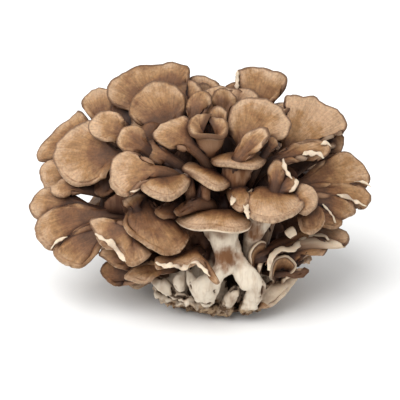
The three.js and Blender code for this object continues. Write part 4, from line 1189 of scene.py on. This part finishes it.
# Torn cream edges: the cap that each lies on, its width, how far it stands off, how torn it is
# where that isn't as usual, and its path across the view
STRIPS = (
    {"on": "right_low_fan_b", "wide": 1.1, "rise": 3.4,
     "path": ((76, 8.4), (79, 8.2), (81.5, 7.4), (84, 5.6))},
    {"on": "right_low_fan_b", "wide": 1.8, "rise": 3.2,
     "path": ((67, 1.6), (72, 0.6), (77, -2), (82, -4))},
    {"on": "right_low_fan_c", "wide": 1.4, "rise": 3.2,
     "path": ((60, -3), (63, -6), (65, -9.5), (66.5, -12.5))},
    {"on": "left_low_tip", "wide": 1.3, "rise": 3,
     "path": ((-73.4, -25.4), (-71, -22.2), (-68, -20.2), (-64.8, -19.4))},
    {"on": "left_low_tongue", "wide": 2.2, "rise": 3,
     "path": ((-51.5, -17.5), (-47.5, -20.5), (-43.5, -22.3), (-40.8, -25.5), (-37.5, -30),
              (-35, -32.6))},
    {"on": "kidney_left", "wide": 1.2, "rise": 2.2,
     "path": ((-34.3, 3), (-31.5, 4), (-29.6, 6), (-29, 8.4))},
    {"on": "split_shelf", "wide": 3.2, "rise": 2.4, "torn": 0.25,
     "path": ((13, 6.2), (15, 3.8), (17.2, 1.6), (17, -1.5), (16, -4.6))},
    {"on": "right_long_shelf", "wide": 2.6, "rise": 2.6, "torn": 0.25,
     "path": ((25.8, 3), (23.8, 0), (22.9, -4), (23.2, -8), (24, -11.6))},
    {"on": "crown_back_right", "wide": 1.8, "rise": 2.4,
     "path": ((18.6, 64), (18.4, 59), (18.4, 54), (19.4, 50.4))},
    {"on": "right_tongue", "wide": 1.8, "rise": 2.4,
     "path": ((41.6, 19.5), (42.3, 15.5), (44, 12.2), (46.2, 9.6))},
    {"on": "right_wedge", "wide": 1.8, "rise": 2.4,
     "path": ((47.8, 9.6), (48, 7), (46.4, 4.6), (44.4, 3))},
    {"on": "right_mid_fold", "wide": 2.3, "rise": 3.2,
     "path": ((50, 20.8), (52.5, 22), (55.5, 21.6), (58.5, 21.6), (61, 19.6))},
    {"on": "right_mid_fold", "wide": 1.6, "rise": 2.6,
     "path": ((59.5, 26.4), (62.4, 27.4), (65, 25.6))},
    {"on": "right_wave", "wide": 3.4, "rise": 2.4, "torn": 0.15,
     "path": ((33.8, -37), (34.4, -32.5), (36.3, -28.8), (40, -26.3), (45, -26.5), (48, -24.4),
              (51.3, -21.3), (56.3, -19.4), (61.3, -19.6), (63.8, -21.9))},
    {"on": "low_arch", "wide": 2.6, "rise": 3.2,
     "path": ((-22, -33.6), (-18, -35), (-13, -35), (-8.5, -36.4), (-5, -34.4))},
    {"on": "low_arch", "wide": 1.6, "rise": 3.4,
     "path": ((-5, -34.4), (-1.8, -33.8), (2, -37.4), (5, -40.6))},
)


class MAITAKE_OT_folds(bpy.types.Operator):
    """Builds the curled sheets at the foot of the right side and the torn cream edges"""

    bl_idname = "maitake.folds"
    bl_label = "Curled folds"

    def execute(self, context):
        caps = {row["name"]: near_cap(row) for row in NEAR_CAPS}
        skin = Skin()
        for row in WALLS:
            wall_sheet(skin, Wall(row), context.scene.maitake_sizes.fineness)
        for row in STRIPS:
            strip_sheet(skin, caps[row["on"]], row)
        skin.finish("folds", shared(skin_finish, "cap_skin"))
        return {"FINISHED"}


# Half the outline of the butt's core, from its cut to its top: radius and height in millimetres
BUTT_OUTLINE = ((0, 0), (25, 0), (28, 4), (30.5, 14), (30, 28), (25, 38), (0, 44))


def limb(mesh, points):
    """Adds a stem or trunk as a row of overlapping flattened balls along a smooth path."""
    places = [seen(*place) for place, wide in points]
    widths = [wide for place, wide in points]
    long = sum((places[i + 1] - places[i]).length for i in range(len(places) - 1))
    count = int(long / 0.9) + 1
    flat = Matrix.Rotation(math.pi / 2 - LOOK_DOWN, 4, "X") @ Matrix.Diagonal((1, 1, 0.62, 1))
    for step in range(count + 1):
        part = step / count
        wide = spline(widths, part) * (1 + 0.06 * math.sin(5 * part + widths[0]))
        move = Matrix.Translation(spline(places, part))
        grow = Matrix.Diagonal((wide, min(wide, 4), wide, 1))
        bmesh.ops.create_icosphere(mesh, subdivisions=2, radius=1, matrix=move @ flat @ grow)


def cast(mesh, name, voxel):
    """Casts overlapping closed bodies into one skin."""
    bmesh.ops.recalc_face_normals(mesh, faces=mesh.faces[:])
    bmesh.ops.scale(mesh, vec=(MM, MM, MM), verts=mesh.verts[:])
    data = bpy.data.meshes.new(name)
    mesh.to_mesh(data)
    mesh.free()
    rough = bpy.data.objects.new(name, data)
    bpy.context.scene.collection.objects.link(rough)
    remesh = rough.modifiers.new("cast", "REMESH")
    remesh.mode = "VOXEL"
    remesh.voxel_size = voxel
    depsgraph = bpy.context.evaluated_depsgraph_get()
    whole = bpy.data.meshes.new_from_object(rough.evaluated_get(depsgraph))
    bpy.data.objects.remove(rough)
    return whole


class MAITAKE_OT_butt(bpy.types.Operator):
    """Builds the pale crumbly butt with its trunks and the flat cut"""

    bl_idname = "maitake.butt"
    bl_label = "Butt"

    def execute(self, context):
        mesh = bmesh.new()
        verts = [mesh.verts.new((radius, 0, height)) for radius, height in BUTT_OUTLINE]
        edges = [mesh.edges.new(pair) for pair in zip(verts, verts[1:])]
        bmesh.ops.spin(mesh, geom=verts + edges, cent=(0, 0, 0), axis=(0, 0, 1), steps=48,
                       angle=math.tau, use_merge=True)
        bmesh.ops.remove_doubles(mesh, verts=mesh.verts[:], dist=1e-4)
        for points in LIMBS.values():
            limb(mesh, points)
        whole = cast(mesh, "butt", context.scene.maitake_sizes.butt_voxel)
        mesh = bmesh.new()
        mesh.from_mesh(whole)
        for turn in range(4):
            bmesh.ops.smooth_vert(mesh, verts=mesh.verts[:], factor=0.5, use_axis_x=True,
                                  use_axis_y=True, use_axis_z=True)
        mesh.normal_update()
        crease, pale, cut = butt_marks(mesh)
        moved = []
        for vert in mesh.verts:
            place = vert.co / MM
            low = 1 - smooth(place.z, 6, 20)
            lumps = 0.75 - 2.2 * abs(noise.fractal(place / 8, 0.9, 2.1, 4))
            crumbs = noise.fractal(place / 2.2 + Vector((5, 5, 5)), 0.7, 2.2, 3)
            fibres = noise.noise(Vector((place.x / 1.3, place.y / 1.3, place.z / 11)))
            depth = (0.3 + 1.2 * low) * lumps + (0.1 + 1.2 * low) * crumbs
            depth += 0.35 * (1 - low) * fibres
            right, up, near = across_view(place)
            hollow = 0
            for (middle, high), (wide, tall), deep, nearest in HOLLOWS:
                away = math.hypot((right - middle) / wide, (up - high) / tall)
                if 0 < near < nearest and away < 2:
                    hollow += deep * (1 - smooth(away + 0.45 * lumps + 0.3 * crumbs, 0.5, 1.25))
            hollow *= smooth(vert.normal.dot(turned(0, 0, 1)), 0.05, 0.5)
            stain = 0
            for (middle, high), (wide, tall), brown in STAINS:
                away = math.hypot((right - middle) / wide, (up - high) / tall)
                if near > 0 and away < 2:
                    stain = max(stain, brown * (1 - smooth(away + 0.3 * lumps, 0.1, 1.3)))
            keep = smooth(place.z, 0.3, 2.5)
            depth -= hollow
            # the crease mark: soil in the dips, most towards the cut, and painted shade in the hollows
            vert[crease] = max(-depth, 0) * (0.3 + low) + 0.25 * hollow
            vert[pale] = 1 - 0.6 * smooth(place.y, -10, 20) - stain
            vert[cut] = 1 - smooth(place.z + 3 * lumps, 4, 16)
            moved.append((vert, vert.co + vert.normal * depth * keep * MM))
        for vert, place in moved:
            vert.co = place
            vert.co.z = max(vert.co.z, 0)
        for face in mesh.faces:
            face.smooth = True
        mesh.to_mesh(whole)
        mesh.free()
        placed("butt", whole, shared(butt_finish, "butt_flesh"))
        return {"FINISHED"}


# How far a point of the skin looks for another, how many ways it looks, and how often what it finds is
# evened out with its neighbours, for the painted shade between the caps
GAP_REACH = 26 * MM
GAP_RAYS = 4
GAP_PASSES = 5


class MAITAKE_OT_gaps(bpy.types.Operator):
    """Marks each point of the skin from 0 deep in a gap between the caps to 1 in the open; the
    finishes paint shade from this mark
    """

    bl_idname = "maitake.gaps"
    bl_label = "Gaps"

    def execute(self, context):
        finishes = [bpy.data.materials["cap_skin"], bpy.data.materials["butt_flesh"]]
        pieces = [piece for piece in context.scene.objects if piece.active_material in finishes]
        verts, faces = [], []
        for piece in pieces:
            start = len(verts)
            verts.extend(vert.co for vert in piece.data.vertices)
            for face in piece.data.polygons:
                faces.append([start + index for index in face.vertices])
        tree = BVHTree.FromPolygons(verts, faces)
        noise.seed_set(SEED)
        for piece in pieces:
            free = numpy.zeros(len(piece.data.vertices))
            for vert in piece.data.vertices:
                start = vert.co + vert.normal * 0.3 * MM
                for ray in range(GAP_RAYS):
                    way = vert.normal + noise.random_unit_vector()
                    hit = tree.ray_cast(start, way, GAP_REACH)[3]
                    free[vert.index] += (1 if hit is None else hit / GAP_REACH) / GAP_RAYS
            ends = numpy.zeros(2 * len(piece.data.edges), dtype=int)
            piece.data.edges.foreach_get("vertices", ends)
            one, other = ends[::2], ends[1::2]
            size = len(free)
            near = 1 + numpy.bincount(one, minlength=size) + numpy.bincount(other, minlength=size)
            for turn in range(GAP_PASSES):
                free = (free + numpy.bincount(one, free[other], size)
                        + numpy.bincount(other, free[one], size)) / near
            marks = piece.data.attributes.new("open", "FLOAT", "POINT")
            marks.data.foreach_set("value", free)
        return {"FINISHED"}


class MAITAKE_OT_stage(bpy.types.Operator):
    """Builds the pale floor, the soft light and the camera"""

    bl_idname = "maitake.stage"
    bl_label = "Stage"

    def execute(self, context):
        studio = context.scene.maitake_studio
        mesh = bmesh.new()
        bmesh.ops.create_grid(mesh, x_segments=1, y_segments=1, size=6)
        bmesh.ops.translate(mesh, vec=(0, 0, -0.0002), verts=mesh.verts[:])
        data = bpy.data.meshes.new("floor")
        mesh.to_mesh(data)
        mesh.free()
        floor = bpy.data.objects.new("floor", data)
        context.scene.collection.objects.link(floor)
        tree = Tree("floor_white")
        tree.shader.inputs["Base Color"].default_value = (0.84, 0.84, 0.835, 1)
        tree.shader.inputs["Roughness"].default_value = 0.9
        tree.shader.inputs["Specular IOR Level"].default_value = 0
        data.materials.append(tree.material)

        world = bpy.data.worlds.new("studio")
        world.use_nodes = True
        world.node_tree.nodes["Background"].inputs["Color"].default_value = (1, 1, 1, 1)
        world.node_tree.nodes["Background"].inputs["Strength"].default_value = studio.sky
        context.scene.world = world

        lamp = bpy.data.lights.new("key", "SUN")
        lamp.energy = studio.key_strength
        lamp.angle = studio.key_spread
        key = bpy.data.objects.new("key", lamp)
        key.location = (-0.5, -0.6, 1)
        key.rotation_euler = (-key.location).to_track_quat("-Z", "Y").to_euler()
        context.scene.collection.objects.link(key)

        lens = bpy.data.cameras.new("view")
        lens.sensor_width = 36
        lens.lens = studio.focal
        camera = bpy.data.objects.new("view", lens)
        camera.location = (SIGHT + turned(0, 0, VIEW_DISTANCE)) * MM
        camera.rotation_euler = (math.pi / 2 - LOOK_DOWN, 0, 0)
        context.scene.collection.objects.link(camera)
        context.scene.camera = camera
        context.scene.view_settings.view_transform = "Standard"
        return {"FINISHED"}


class MAITAKE_PT_panel(bpy.types.Panel):
    """Lists the head's pieces, sizes and colours"""

    bl_idname = "MAITAKE_PT_panel"
    bl_label = "Maitake mushroom head"
    bl_space_type = "VIEW_3D"
    bl_region_type = "UI"
    bl_category = "Maitake"

    def draw(self, context):
        for name in ("maitake_sizes", "maitake_colours", "maitake_studio"):
            box = self.layout.box()
            group = getattr(context.scene, name)
            for key in group.__annotations__:
                box.prop(group, key)
        for operator in OPERATORS:
            self.layout.operator(operator.bl_idname)


GROUPS = (MaitakeSizes, MaitakeColours, MaitakeStudio)
OPERATORS = (
    MAITAKE_OT_stage,
    MAITAKE_OT_near_caps,
    MAITAKE_OT_far_caps,
    MAITAKE_OT_inner_caps,
    MAITAKE_OT_folds,
    MAITAKE_OT_butt,
    MAITAKE_OT_gaps,
)


def register():
    for each in GROUPS + OPERATORS + (MAITAKE_PT_panel,):
        bpy.utils.register_class(each)
    bpy.types.Scene.maitake_sizes = PointerProperty(type=MaitakeSizes)
    bpy.types.Scene.maitake_colours = PointerProperty(type=MaitakeColours)
    bpy.types.Scene.maitake_studio = PointerProperty(type=MaitakeStudio)


def unregister():
    del bpy.types.Scene.maitake_studio
    del bpy.types.Scene.maitake_colours
    del bpy.types.Scene.maitake_sizes
    for each in reversed(GROUPS + OPERATORS + (MAITAKE_PT_panel,)):
        bpy.utils.unregister_class(each)


def main():
    register()
    bpy.ops.maitake.stage()
    bpy.ops.maitake.near_caps()
    bpy.ops.maitake.far_caps()
    bpy.ops.maitake.inner_caps()
    bpy.ops.maitake.folds()
    bpy.ops.maitake.butt()
    bpy.ops.maitake.gaps()


if __name__ == "__main__":
    main()
